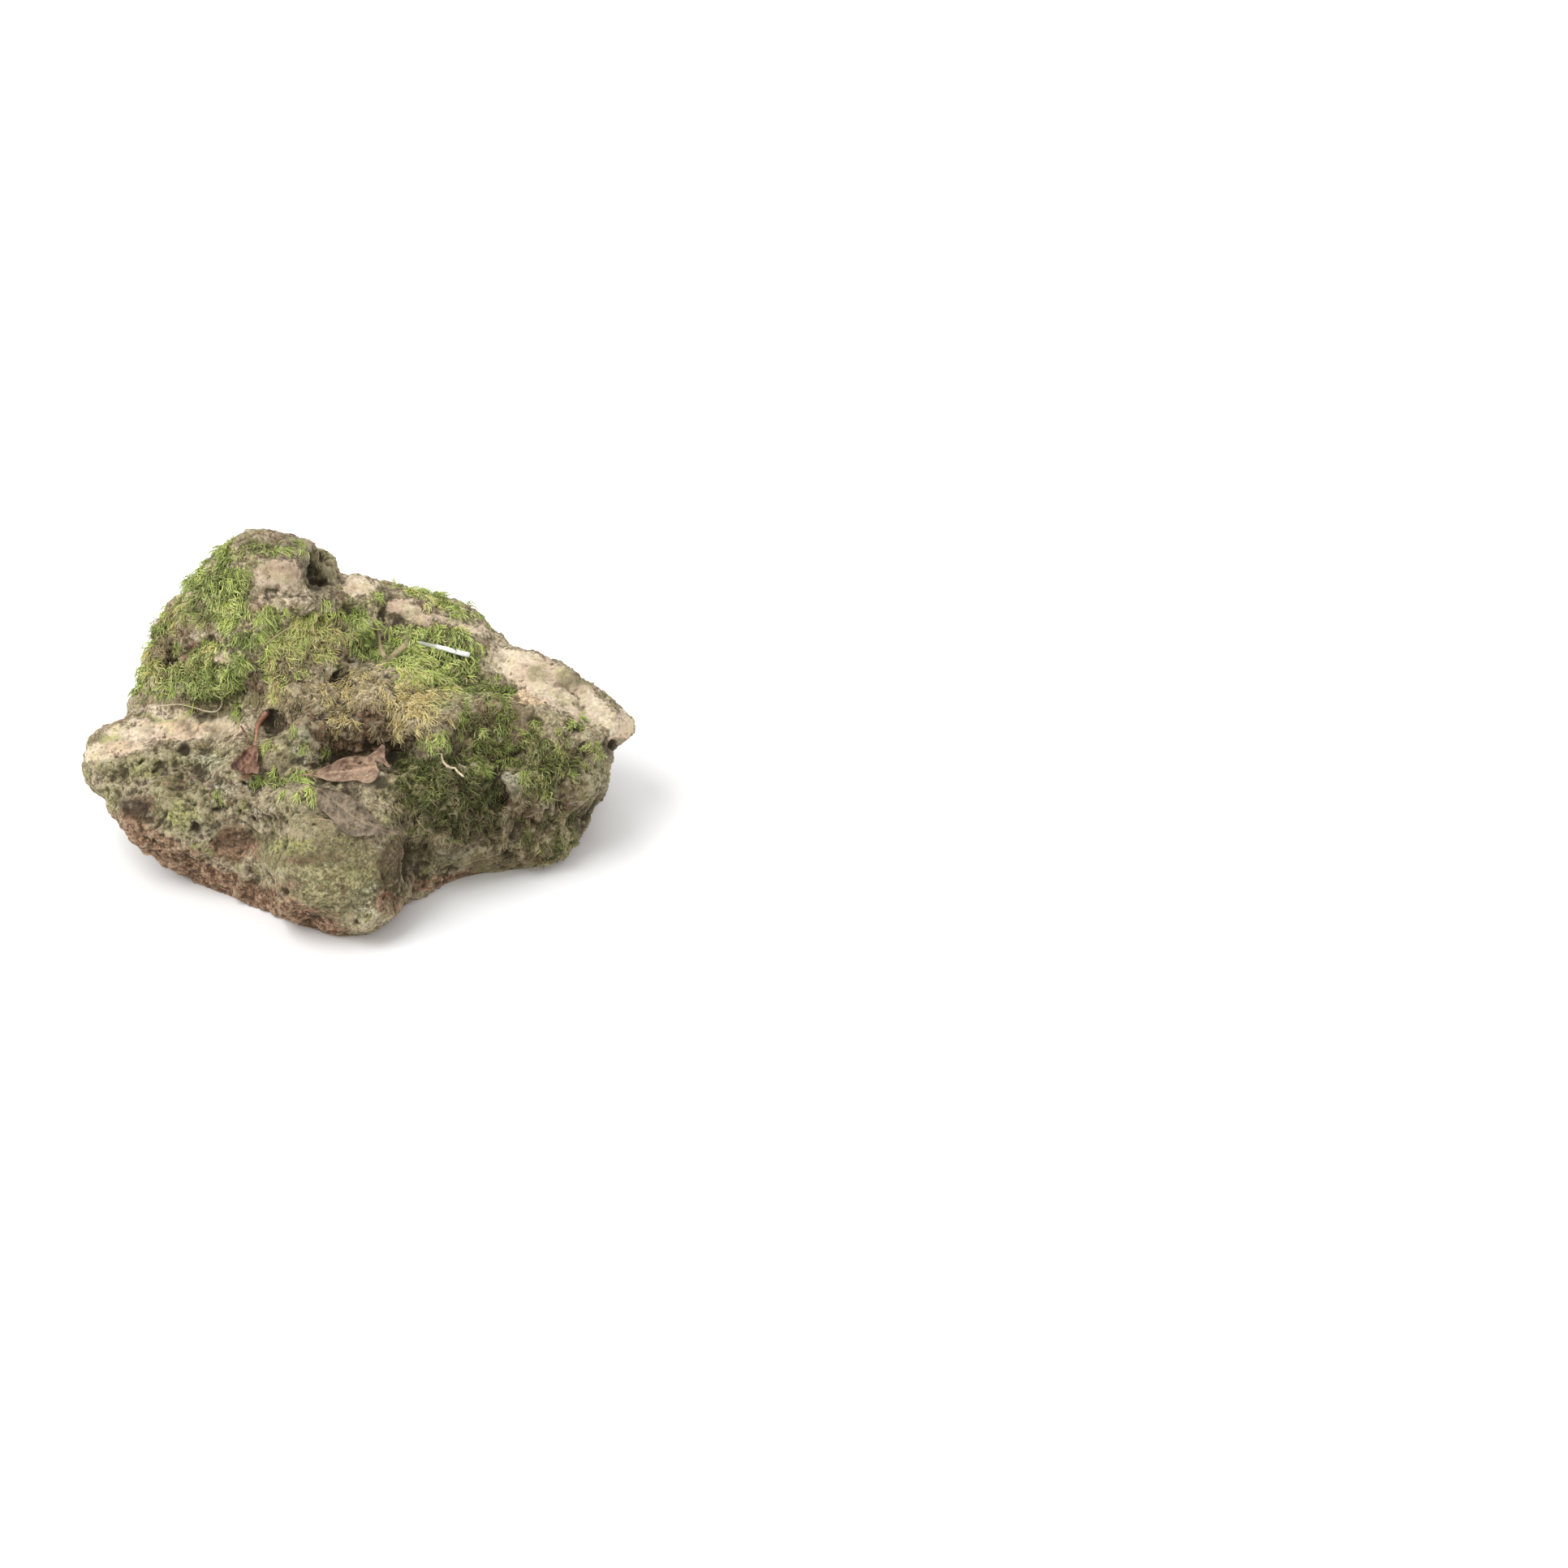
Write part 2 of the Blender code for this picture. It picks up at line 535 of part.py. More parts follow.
def largest_island(mesh):
    """Keeps only the largest of a mesh's separate bodies."""
    shape = bmesh.new()
    shape.from_mesh(mesh)
    bmesh.ops.remove_doubles(shape, verts=shape.verts, dist=0.02 * MM)
    left, islands = set(shape.verts), []
    while left:
        island, edge_of_search = set(), [next(iter(left))]
        while edge_of_search:
            vertex = edge_of_search.pop()
            if vertex in island:
                continue
            island.add(vertex)
            edge_of_search += [edge.other_vert(vertex) for edge in vertex.link_edges]
        islands.append(island)
        left -= island
    islands.sort(key=len, reverse=True)
    bmesh.ops.delete(shape, geom=[v for island in islands[1:] for v in island], context="VERTS")
    shape.to_mesh(mesh)
    shape.free()


def grown_rock(mesh, cutters):
    """The stone a little larger all round, as the tool that shapes the undersides of the mats."""
    grown = mesh.copy()
    grown.name = "grown_rock"
    move_points(grown, points_of(mesh) + normals_of(mesh) * ROCK_GAP)
    tool = bpy.data.objects.new("grown_rock", grown)
    tool.hide_render = True
    tool.display_type = "WIRE"
    cutters.objects.link(tool)
    return tool


def moss_mat(name, fine, deep, thickness, triangles, tool):
    mat = bpy.data.objects.new(name, mat_body(name, fine, deep, thickness, triangles))
    bpy.context.scene.collection.objects.link(mat)
    cut = mat.modifiers.new("sits_on_rock", "BOOLEAN")
    cut.operation = "DIFFERENCE"
    cut.solver = "EXACT"
    cut.object = tool
    mesh = settled(mat)
    largest_island(mesh)
    return mesh


def seen_by_eye(fine):
    """Which points of the fine stone the eye sees, and where they are on the sheet."""
    points, normals = points_of(fine), normals_of(fine)
    across, up, away = on_sheet(points)
    tree = tree_of([fine])
    _, facing = facing_eye(points, normals)
    seen = np.zeros(len(points), bool)
    for i in np.flatnonzero(facing > 0):
        depth = depth_at(tree, across[i], up[i], 0)
        seen[i] = depth is not None and away[i] - depth < 12 * MM
    return across, up, seen


def off_mats(points, used):
    """How far points are from those that mats already cover, in millimetres."""
    if not used:
        return np.full(len(points), np.inf)
    tree = KDTree(len(used))
    for i, point in enumerate(used):
        tree.insert(point, i)
    tree.balance()
    return np.array([tree.find(point)[2] for point in points]) / MM


def moss_mats(fine, tool):
    """Mats of moss on the side that shows, behind the skyline and on the back."""
    across, up, seen = seen_by_eye(fine)
    points = points_of(fine)
    wander = wandering_rim(points)
    allowed = points[:, 2] > LOWEST_MOSS
    planned = []
    for name, outline, thickness, triangles in MOSS_MATS:
        deep = inside_and_off_rim(across, up, outline) + wander + MAT_SPREAD
        planned.append((name, np.where(seen & allowed, deep, -1), thickness, triangles))
    for name, start, end, reach, thickness, triangles in BACK_MOSS:
        line = np.array(end) - start
        share = np.clip((points / MM - start) @ line / (line @ line), 0, 1)
        away = np.linalg.norm(points / MM - start - share[:, None] * line, axis=1)
        planned.append((name, np.where(allowed, reach - away + wander, -1), thickness, triangles))
    mats, used = {}, []
    for name, deep, thickness, triangles in planned:
        deep = np.minimum(deep, off_mats(points, used) - MATS_APART)
        used += list(points[deep > 0])
        mats[name] = moss_mat(name, fine, deep, thickness, triangles, tool)
    return mats


def leaf_mesh(name, stations, curl, tree):
    """A thin leaf lying on what is under it."""
    spine = np.array(stations, float)
    along = np.gradient(spine[:, :2], axis=0)
    along /= np.linalg.norm(along, axis=1)[:, None]
    across = np.stack([-along[:, 1], along[:, 0]], axis=1)
    shares = np.array([-1, -0.5, 0, 0.5, 1])
    width = np.where(shares[None, :] > 0, spine[:, 2:3], spine[:, 3:4])
    places = spine[:, None, :2] + across[:, None, :] * (width * shares[None, :])[..., None]
    raw = np.array([[depth_at(tree, x, y, 2.5) for x, y in row] for row in places]) / MM - LEAF_LIFT
    depth = raw.copy()
    for _ in range(12):
        padded = np.pad(depth, 1, mode="edge")
        mean = (padded[:-2, 1:-1] + padded[2:, 1:-1] + padded[1:-1, :-2] + padded[1:-1, 2:]) / 4
        depth = np.minimum(raw, mean)
    depth -= curl * np.abs(shares[None, :]) ** 2.5
    shape = bmesh.new()
    grid = [
        [shape.verts.new(place_at(x, y, away * MM)) for (x, y), away in zip(row, line)]
        for row, line in zip(places, depth)
    ]
    for near, far in zip(grid[:-1], grid[1:]):
        for i in range(len(shares) - 1):
            shape.faces.new((near[i], near[i + 1], far[i + 1], far[i]))
    leaf = bpy.data.meshes.new(name)
    shape.to_mesh(leaf)
    shape.free()
    thing = bpy.data.objects.new(name, leaf)
    bpy.context.scene.collection.objects.link(thing)
    thick = thing.modifiers.new("thickness", "SOLIDIFY")
    thick.thickness = LEAF_THICKNESS * MM
    thick.offset = 1 if leaf.polygons[0].normal.dot(Vector(SIGHT_FORWARD)) < 0 else -1
    return settled(thing)


def stem_mesh(name, places, radii, lift, tree):
    """A thin tapering stem lying on what is under it."""
    stations = np.array(places, float)
    fine = np.linspace(0, len(stations) - 1, 2 * len(stations) - 1)
    line = np.stack([np.interp(fine, range(len(stations)), column) for column in stations.T], axis=1)
    raw = np.array([depth_at(tree, x, y, 2.0) for x, y in line]) / MM - lift
    depth = raw.copy()
    for _ in range(8):
        padded = np.pad(depth, 1, mode="edge")
        depth = np.minimum(raw, (padded[:-2] + padded[2:]) / 2)
    radius = np.linspace(radii[0], radii[1], len(line))
    curve = bpy.data.curves.new(name, "CURVE")
    curve.dimensions = "3D"
    curve.bevel_depth = 1 * MM
    curve.bevel_resolution = 1
    curve.use_fill_caps = True
    spline = curve.splines.new("POLY")
    spline.points.add(len(line) - 1)
    for point, (x, y), away, size in zip(spline.points, line, depth - radius, radius):
        point.co = (*place_at(x, y, away * MM), 1)
        point.radius = size
    thing = bpy.data.objects.new(name, curve)
    bpy.context.scene.collection.objects.link(thing)
    stem = settled(thing)
    bpy.data.curves.remove(curve)
    shape = bmesh.new()
    shape.from_mesh(stem)
    bmesh.ops.remove_doubles(shape, verts=shape.verts, dist=0.01 * MM)
    bmesh.ops.recalc_face_normals(shape, faces=shape.faces)
    shape.to_mesh(stem)
    shape.free()
    return stem


def surface(name, colour, roughness):
    material = bpy.data.materials.new(name)
    material.use_nodes = True
    shader = material.node_tree.nodes["Principled BSDF"]
    shader.inputs["Base Color"].default_value = (*colour, 1)
    shader.inputs["Roughness"].default_value = roughness
    shader.inputs["Metallic"].default_value = 0
    material.diffuse_color = (*colour, 1)
    return material


def centre_on_footprint(meshes):
    """Moves all pieces so that the origin is under the middle of their box."""
    points = np.vstack([points_of(mesh) for mesh in meshes])
    low, high = points.min(axis=0), points.max(axis=0)
    shift = Vector((-(low[0] + high[0]) / 2, -(low[1] + high[1]) / 2, -low[2]))
    for mesh in meshes:
        mesh.transform(Matrix.Translation(shift))
    return shift


def main():
    clear_scene()
    home = bpy.data.collections.new("mossy_rock")
    bpy.context.scene.collection.children.link(home)
    cutters = bpy.data.collections.new("cutters")
    bpy.context.scene.collection.children.link(cutters)

    fine = rock_mesh()
    rock = thinned(fine.copy(), ROCK_TRIANGLES)
    cut_base(rock)
    tool = grown_rock(rock, cutters)
    pieces = {"rock": rock}
    pieces.update(moss_mats(fine, tool))
    tree = tree_of(pieces.values())
    for name, stations, curl in LEAVES:
        pieces[name] = leaf_mesh(name, stations, curl, tree)
    tree = tree_of(pieces.values())
    for name, places, radii, lift in STEMS:
        pieces[name] = stem_mesh(name, places, radii, lift, tree)
    shift = centre_on_footprint(pieces.values())

    surfaces = {name: surface(name, *look) for name, look in COLOURS.items()}
    for name, mesh in pieces.items():
        mesh.name = name
        mesh.materials.clear()
        mesh.materials.append(surfaces[PIECE_COLOURS.get(name, "green_moss")])
        if name not in ("rock", *(leaf[0] for leaf in LEAVES)):
            mesh.shade_smooth()
        home.objects.link(bpy.data.objects.new(name, mesh))
    return shift


if __name__ == "__main__":
    main()
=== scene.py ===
"""Looks of the mossy rock: pitted limestone with algae and soil, feathery moss, fallen leaves and dry stems.

Lengths in the tables are in millimetres. Places are given on a sheet, in millimetres, as the stone appears
from the eye of the photograph: across runs right and up runs up the sheet.
"""

import json
import math
import random
from contextlib import contextmanager

import bmesh
import bpy
import numpy as np
from mathutils import Matrix, Vector, noise
from mathutils.bvhtree import BVHTree
from mathutils.geometry import delaunay_2d_cdt

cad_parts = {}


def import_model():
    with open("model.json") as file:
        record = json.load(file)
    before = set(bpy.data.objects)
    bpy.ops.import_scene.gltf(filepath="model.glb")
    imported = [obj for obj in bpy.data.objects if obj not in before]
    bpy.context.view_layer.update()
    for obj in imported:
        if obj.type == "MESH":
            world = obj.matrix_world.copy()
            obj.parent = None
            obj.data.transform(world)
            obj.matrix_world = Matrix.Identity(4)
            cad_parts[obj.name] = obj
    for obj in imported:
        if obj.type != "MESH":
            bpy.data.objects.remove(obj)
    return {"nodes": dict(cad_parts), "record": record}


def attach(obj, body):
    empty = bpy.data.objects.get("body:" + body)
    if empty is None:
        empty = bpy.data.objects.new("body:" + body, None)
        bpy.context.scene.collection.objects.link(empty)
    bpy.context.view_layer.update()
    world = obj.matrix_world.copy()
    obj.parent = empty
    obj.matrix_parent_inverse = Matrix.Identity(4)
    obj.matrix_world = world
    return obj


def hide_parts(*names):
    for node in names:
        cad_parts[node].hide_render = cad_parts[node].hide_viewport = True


MM = 0.001

# The eye of the photograph, and the sheet that the stone is laid out on.
EYE_DISTANCE = 2.3
EYE_ABOVE = math.radians(32.0)
STONE_MIDDLE = Vector((0.000935, 0.006964, 0.09))
SIGHT_TURN = math.radians(7.96)
SIGHT_DOWN = math.radians(33.37)
SHEET_ACROSS = 272.0
SHEET_UP = 98.3
FOCUS_PIXELS = 4423.0
PICTURE_PIXELS = 1932.0
SENSOR = 36.0

EYE = STONE_MIDDLE + EYE_DISTANCE * Vector((0, -math.cos(EYE_ABOVE), math.sin(EYE_ABOVE)))
SIGHT_RIGHT = np.array([math.cos(SIGHT_TURN), -math.sin(SIGHT_TURN), 0])
SIGHT_FORWARD = np.array(
    [
        math.sin(SIGHT_TURN) * math.cos(SIGHT_DOWN),
        math.cos(SIGHT_TURN) * math.cos(SIGHT_DOWN),
        -math.sin(SIGHT_DOWN),
    ]
)
SIGHT_UPWARD = np.cross(SIGHT_RIGHT, SIGHT_FORWARD)

# Soft lamps round the stone: name, place, power and size; and the light from all round.
LAMPS = (
    ("key", (-1.5, -0.7, 2.6), 62, 2.0),
    ("fill", (0.4, -2.2, 1.6), 4, 1.6),
    ("rear", (0.3, 2.0, 2.4), 12, 1.8),
)
LAMP_AIM = Vector((0, 0, 0.08))
LIGHT_ALL_ROUND = 0.84

# The size of the stone's finest faces, and the height at which its base is cut flat.
STONE_VOXEL = 1.62 * MM
BASE_CUT = 0.4 * MM

# The tables of patches on the side that shows have rows of the place on the sheet (across and up), the
# half sizes, the turn in degrees and, last, how strong the patch is.

# Lumps, and hollows where the last number is negative: how far they push the surface.
FORMS = (
    (-20, 238, 8, 9, 0, 2.6), (-32, 236, 6, 11, 0, 1.5), (-25, 226.5, 11, 3, 5, -1.0),
    (46, 220, 26, 7, -22, -3.0), (-119, 104, 15, 8, 0, 5.2), (-54, 234, 16, 10, 0, 1.2),
    (-55, 222.5, 5.5, 4, 0, -2.4), (-64, 254, 8, 3.5, 0, 1.6), (-48, 219, 17, 2, 0, -1.6),
    (-30, 213, 9, 5, 0, 2.4), (-46, 211, 7, 4, 0, 1.8), (-20, 209, 6, 5, 0, 2.2),
    (-107, 191, 10, 4.5, 20, 2.4), (-121, 171, 3.5, 11, 8, -2.5), (-100, 152, 14, 6, 0, -2.0),
    (-88, 180, 6, 5, 0, 2.0), (-74, 150, 9, 8, 0, 2.0), (0, 224, 14, 8, 0, 1.6),
    (38, 207, 13, 6, -25, 1.6), (16, 206, 3, 9, 0, -2.2), (82, 172, 7, 4, -10, 1.8),
    (134, 166, 13, 5, -30, 2.2), (135, 156, 13, 7, -30, 3.6), (-102, 136, 8, 7, 0, 5.0),
    (104, 152, 12, 4, -20, -1.2), (166, 135, 8, 7, 0, 1.0), (-4, 194, 9, 6, 20, 2.4),
    (-14, 185, 7, 5, 0, 2.2), (8, 172, 9, 6, 0, 2.2), (-30, 168, 9, 6, 0, 2.0), (-44, 158, 8, 6, 0, 2.4),
    (-26, 153, 8, 5, 0, 1.8), (4, 154, 9, 6, 0, 1.8), (-34, 134, 8, 7, 0, 3.6), (-32, 120, 9, 8, 0, 3.8),
    (-50, 126, 7, 6, 0, 2.2), (-12, 136, 9, 8, 0, 2.0), (10, 138, 7, 6, 0, 2.0),
    (32, 140, 13, 11, 0, 2.4), (-42, 146, 4, 3, 0, -3.0), (-57, 140, 4, 3, 20, -1.5),
    (-24, 142, 4, 3.5, 0, -3.0), (21, 116, 3, 6, -15, -1.5), (60, 146, 8, 7, 0, 2.2),
    (84, 150, 9, 7, -20, 2.6), (48, 124, 10, 7, 0, 2.0), (61, 106, 11, 6, 0, 3.0),
    (80, 128, 9, 8, 0, 2.0), (99, 97, 7, 9, 10, 3.2), (88, 98, 6, 12, 0, 2.4), (93, 72, 3.5, 7, 0, 2.6),
    (82, 72, 5, 4, 0, -2.0), (70, 80, 5, 3, 0, -1.8), (118, 84, 9, 8, 0, 2.6), (110, 68, 9, 6, 0, 2.0),
    (136, 74, 4, 8, -25, -2.2), (149, 78, 3, 9, -25, -2.4), (148, 104, 9, 12, 0, 2.2),
    (128, 120, 10, 8, 0, 1.8), (56, 84, 9, 7, 0, 2.4), (38, 92, 9, 7, 0, 2.0), (38, 66, 8, 7, 0, 2.4),
    (60, 62, 9, 7, 0, 2.2), (84, 56, 9, 5, 0, 1.6), (28, 44, 5, 9, -10, -1.2), (118, 52, 19, 6, 5, 2.2),
    (-168, 112, 9, 9, 0, 1.2), (-130, 118, 12, 5, -10, 1.6), (-148, 106, 9, 5, 0, -1.0),
    (-141, 84, 13, 7, -25, 1.6), (-107, 101, 12, 7, 0, 3.4), (-132, 97, 6, 6, 0, 2.0),
    (-104, 94, 7, 8, 0, 2.2), (-92, 101, 9, 4, 0, -2.6), (-80, 92, 10, 7, 0, 1.8),
    (-82, 61, 23, 16, -15, 5.0), (-100, 74, 6, 8, 0, 1.8), (-120, 68, 7, 6, 0, 1.6),
    (-58, 84, 9, 6, 0, 2.0), (-40, 66, 14, 7, 15, 1.6), (-58, 48, 13, 13, -20, 4.0),
    (-53, 48, 9, 18, -10, 3.0),
)

# Holes in the stone: place on the sheet, radius and depth.
HOLES = (
    (-113, 121, 4.8, 4), (-106, 70, 3.2, 4), (-56, 67, 2.0, 3), (-2, 9, 2.6, 2.5), (-156, 117, 2.2, 3),
    (-98, 111, 2.0, 3), (-132, 60, 2.2, 2), (-48, 30, 2.6, 2.5), (-15, 166, 3.4, 5), (-66, 98, 1.8, 3),
    (-74, 99, 2.0, 3), (-107, 87, 2.6, 3), (88, 106, 2.6, 3), (-143, 137, 1.6, 2), (-90, 81, 2.4, 3),
    (-76, 81, 1.8, 2), (-140, 113, 3.0, 3), (163, 123, 3.4, 4), (15, 39, 1.6, 2), (-46, 73, 1.8, 2),
    (-30, 74, 1.6, 2), (12, 123, 2.6, 4), (-5, 179, 2.4, 3), (-120, 166, 2.4, 2), (-68, 76, 2.0, 3),
    (-84, 106, 2.0, 3), (-96, 64, 2.0, 3),
)

# How the stone breaks up. Where it is even, the finished relief is softened.
TEXTURES = {
    "smooth": (
        (-17, 44, 46, 32, 0, 0.75), (-54, 52, 14, 20, 0, 1.0), (-108, 135, 52, 10, 0, 0.6),
        (0, 224, 16, 10, 0, 0.9), (118, 162, 62, 17, -33, 0.6), (-53, 232, 18, 11, 0, 0.5),
        (38, 208, 14, 7, -25, 0.8), (-160, 120, 18, 12, 0, 0.4), (166, 136, 12, 10, 0, 0.5),
    ),
    "pitted": (
        (-125, 98, 48, 26, -10, 0.6), (-85, 76, 36, 24, -20, 0.5), (-50, 84, 22, 16, 0, 0.35),
        (-120, 60, 30, 14, -30, 0.7), (130, 78, 30, 24, 0, 0.6), (-10, 60, 34, 26, 0, 0.25),
    ),
    "crumbly": (
        (-80, 34, 80, 14, -24, 0.55), (-145, 66, 20, 16, -40, 0.5), (0, 138, 66, 34, 0, 0.9),
        (60, 90, 52, 34, 0, 0.8), (110, 70, 40, 30, 0, 0.8), (30, 30, 40, 12, 20, 0.7),
        (-30, 214, 26, 8, 0, 0.4), (-110, 180, 26, 26, 0, 0.7), (-66, 256, 30, 6, 0, 0.35),
        (-28, 236, 10, 12, 0, 0.3),
    ),
    "even": (
        (-56, 52, 13, 20, 0, 0.85), (-83, 62, 22, 15, -15, 0.6), (-119, 103, 16, 9, 0, 0.6),
    ),
}

# Patches of colour. Where they are dim, painted shade darkens moss and stone, in hollows and on the side away
# from the light.
STAINS = {
    "dim": (
        (-4, 130, 40, 18, 0, 0.9), (86, 74, 58, 28, 8, 0.76), (90, 128, 34, 26, 0, 0.75),
        (22, 44, 11, 30, -8, 0.88), (54, 97, 36, 19, 0, 0.8), (-35, 50, 30, 7, 0, 0.5),
        (100, 52, 40, 12, 5, 0.6), (-70, 112, 12, 14, 0, 0.5), (128, 98, 26, 30, -20, 0.7),
        (-80, 64, 16, 10, -20, 0.5), (-112, 184, 12, 20, 0, 0.4), (-98, 154, 26, 4, 0, 0.5),
        (-146, 86, 16, 10, -25, 0.5), (-52, 231, 20, 12, 0, 0.6), (-18, 58, 34, 16, 0, 0.4),
        (-118, 103, 26, 12, 0, 0.25), (-62, 254, 34, 10, 0, 0.35),
    ),
    "lichen": (
        (-34, 122, 12, 14, 0, 0.7), (-100, 114, 20, 7, 0, 0.5), (-86, 96, 16, 6, 0, 0.5),
        (60, 107, 12, 6, 0, 0.8), (99, 98, 7, 9, 0, 0.9), (94, 73, 4, 8, 0, 0.8),
        (-60, 80, 14, 6, 0, 0.4), (-12, 170, 20, 9, 0, 0.4), (-85, 196, 3, 3, 0, 1.0),
        (60, 60, 22, 12, 0, 0.5), (-98, 66, 12, 7, 0, 0.4), (10, 22, 20, 14, 40, 0.4),
        (110, 62, 18, 8, 0, 0.4), (150, 100, 10, 16, 0, 0.4),
    ),
    "bare": (
        (-52, 233, 19, 12, 0, 0.8), (-45, 217, 22, 7, 0, 0.5), (-26, 170, 18, 10, 0, 0.65),
        (-46, 157, 12, 8, 0, 0.55), (-113, 221, 9, 6, 45, 0.9), (-106, 195, 10, 5, 0, 0.7),
        (-12, 199, 8, 6, 0, 0.4), (0, 226, 13, 10, 0, 1.0), (30, 210, 16, 6, -22, 1.0),
        (66, 200, 24, 3.6, -22, 0.9), (130, 158, 52, 14, -33, 1.0), (102, 172, 26, 12, -25, 0.8),
        (168, 135, 16, 12, -30, 0.8), (-110, 134, 42, 9, 0, 0.9), (-120, 144, 34, 6, 0, 0.6),
        (-150, 128, 26, 12, 15, 0.8), (-168, 118, 12, 10, 0, 0.8), (-88, 179.5, 7, 6, 0, 1.0),
        (-107, 191, 10, 6, 0, 0.5), (-66, 256, 30, 6, 0, 0.4), (-30, 212, 12, 6, 0, 0.5),
        (10, 170, 10, 6, 0, 0.5), (-10, 18, 14, 8, 20, 0.4), (-30, 82, 10, 6, 0, 0.45),
    ),
    "orange": (
        (-50, 238, 12, 6, 0, 0.25), (-108, 134, 34, 6, -5, 0.55), (-158, 122, 12, 6, 20, 0.5),
        (-24, 138, 4, 4, 0, 0.8), (103, 79, 3, 3, 0, 0.8), (-88, 179, 6, 5, 0, 0.5),
        (-88, 252, 12, 6, 30, 0.5), (106, 154, 15, 4.4, -14, 1.0), (8, 132, 16, 12, 0, 0.3),
        (106, 133, 5, 7, -30, 0.6), (-108, 226, 8, 7, 30, 0.6), (-110, 197, 7, 3, 0, 0.5),
        (-70, 204, 5, 4, 0, 0.5), (172, 128, 8, 6, 0, 0.5), (-170, 116, 8, 8, 0, 0.35),
    ),
    "lime": (
        (-42, 58, 18, 6, -8, 0.6), (-160, 126, 9, 3, 20, 0.7), (-128, 140, 22, 3, -8, 0.7),
        (-136, 108, 12, 7, 0, 0.5), (-112, 78, 12, 10, 0, 0.6), (-90, 92, 8, 5, 0, 0.6),
        (-84, 118, 12, 6, 0, 0.4), (146, 96, 9, 14, -10, 0.5), (20, 60, 6, 10, 0, 0.4),
        (-104, 112, 16, 5, 0, 0.4), (-5, 36, 20, 12, 10, 0.25),
    ),
    "algae": (
        (-50, 54, 16, 14, 0, 0.8), (-116, 98, 12, 8, 0, 0.9), (-58, 251, 20, 6, 0, 0.7),
        (-15, 40, 40, 34, 0, 0.75), (-30, 82, 36, 18, 0, 0.6), (-115, 84, 24, 20, -30, 0.8),
        (-150, 108, 24, 9, 0, 0.8), (-166, 127, 7, 5, 0, 0.8), (50, 60, 24, 22, 0, 0.7),
        (90, 52, 28, 12, 5, 0.6), (13, 216, 4, 10, 0, 1.0), (-22, 240, 10, 12, 0, 0.8),
        (-8, 195, 12, 12, 0, 0.6), (135, 165, 12, 7, -25, 0.8), (115, 168, 8, 6, 0, 0.6),
        (-104, 116, 22, 9, 0, 0.8), (-48, 118, 22, 14, 0, 0.6), (150, 95, 10, 26, -15, 0.6),
        (-92, 145, 18, 8, 0, 0.5), (100, 95, 7, 15, 0, 0.7), (-130, 155, 14, 6, 20, 0.7),
    ),
    "soil": (
        (-14, 74, 24, 5, 8, 0.4), (-32, 49, 24, 4.5, 0, 0.45), (9, 143, 9, 6, 0, 0.8),
        (-12, 123, 8, 4, 0, 0.9), (-118, 97, 11, 9, 0, 0.4), (-60, 22, 60, 11, -22, 1.0),
        (-120, 52, 40, 12, -28, 0.9), (-145, 70, 16, 10, -40, 0.8), (-140, 83, 14, 9, -20, 0.6),
        (-80, 60, 18, 13, 0, 0.7), (20, 22, 10, 12, 60, 0.6), (55, 36, 26, 5, 15, 0.7),
        (-50, 30, 10, 7, 0, 0.6), (0, 128, 40, 20, 0, 0.55), (10, 145, 10, 7, 0, 0.6),
        (-45, 144, 22, 14, 0, 0.5), (85, 148, 12, 9, 0, 0.6), (85, 80, 20, 20, 0, 0.4),
        (105, 78, 14, 10, 0, 0.4), (-112, 184, 12, 16, 0, 0.6), (-72, 110, 10, 10, 0, 0.7),
    ),
    # painted shade: near black in holes, cracks, gaps between lumps and under overhangs
    "dark": (
        (-32, 236, 5, 13, 0, 0.8), (-26, 226, 11, 3.4, 0, 0.8), (-24, 236, 9, 10, 0, 0.45),
        (-121, 172, 4, 13, 0, 1.0), (-143, 83, 14, 8, -25, 0.7), (-14, 166, 6, 5, 0, 1.0),
        (22, 116, 4, 8, 0, 0.9), (12, 98, 10, 5, 0, 0.8), (88, 100, 6, 14, 0, 0.9),
        (78, 74, 12, 9, 0, 0.7), (60, 90, 34, 18, 0, 0.3), (-55, 141, 9, 7, 0, 0.8),
        (-42, 147, 5, 5, 0, 0.9), (142, 73, 9, 12, -30, 0.7), (150, 80, 6, 20, -25, 0.7),
        (-125, 107, 4, 4, 0, 0.6), (-113, 121, 5, 5, 0, 0.8), (28, 42, 8, 18, -10, 0.6),
        (-82, 66, 14, 8, 0, 0.3), (115, 50, 20, 7, 5, 0.4), (0, 183, 6, 10, 20, 0.6),
        (-22, 141, 3.5, 5, 0, 0.9), (23, 122, 5, 8, 0, 1.0), (-3, 138, 5, 5, 0, 0.6),
        (-18, 150, 8, 3, 0, 0.5), (34, 118, 9, 5, 0, 0.6), (162, 122, 6, 5, 0, 0.7),
        (-40, 52, 24, 6, 0, 0.25), (-106, 72, 4, 7, 0, 0.7), (40, 78, 24, 16, 0, 0.45),
        (110, 80, 26, 22, 0, 0.35),
    ),
}

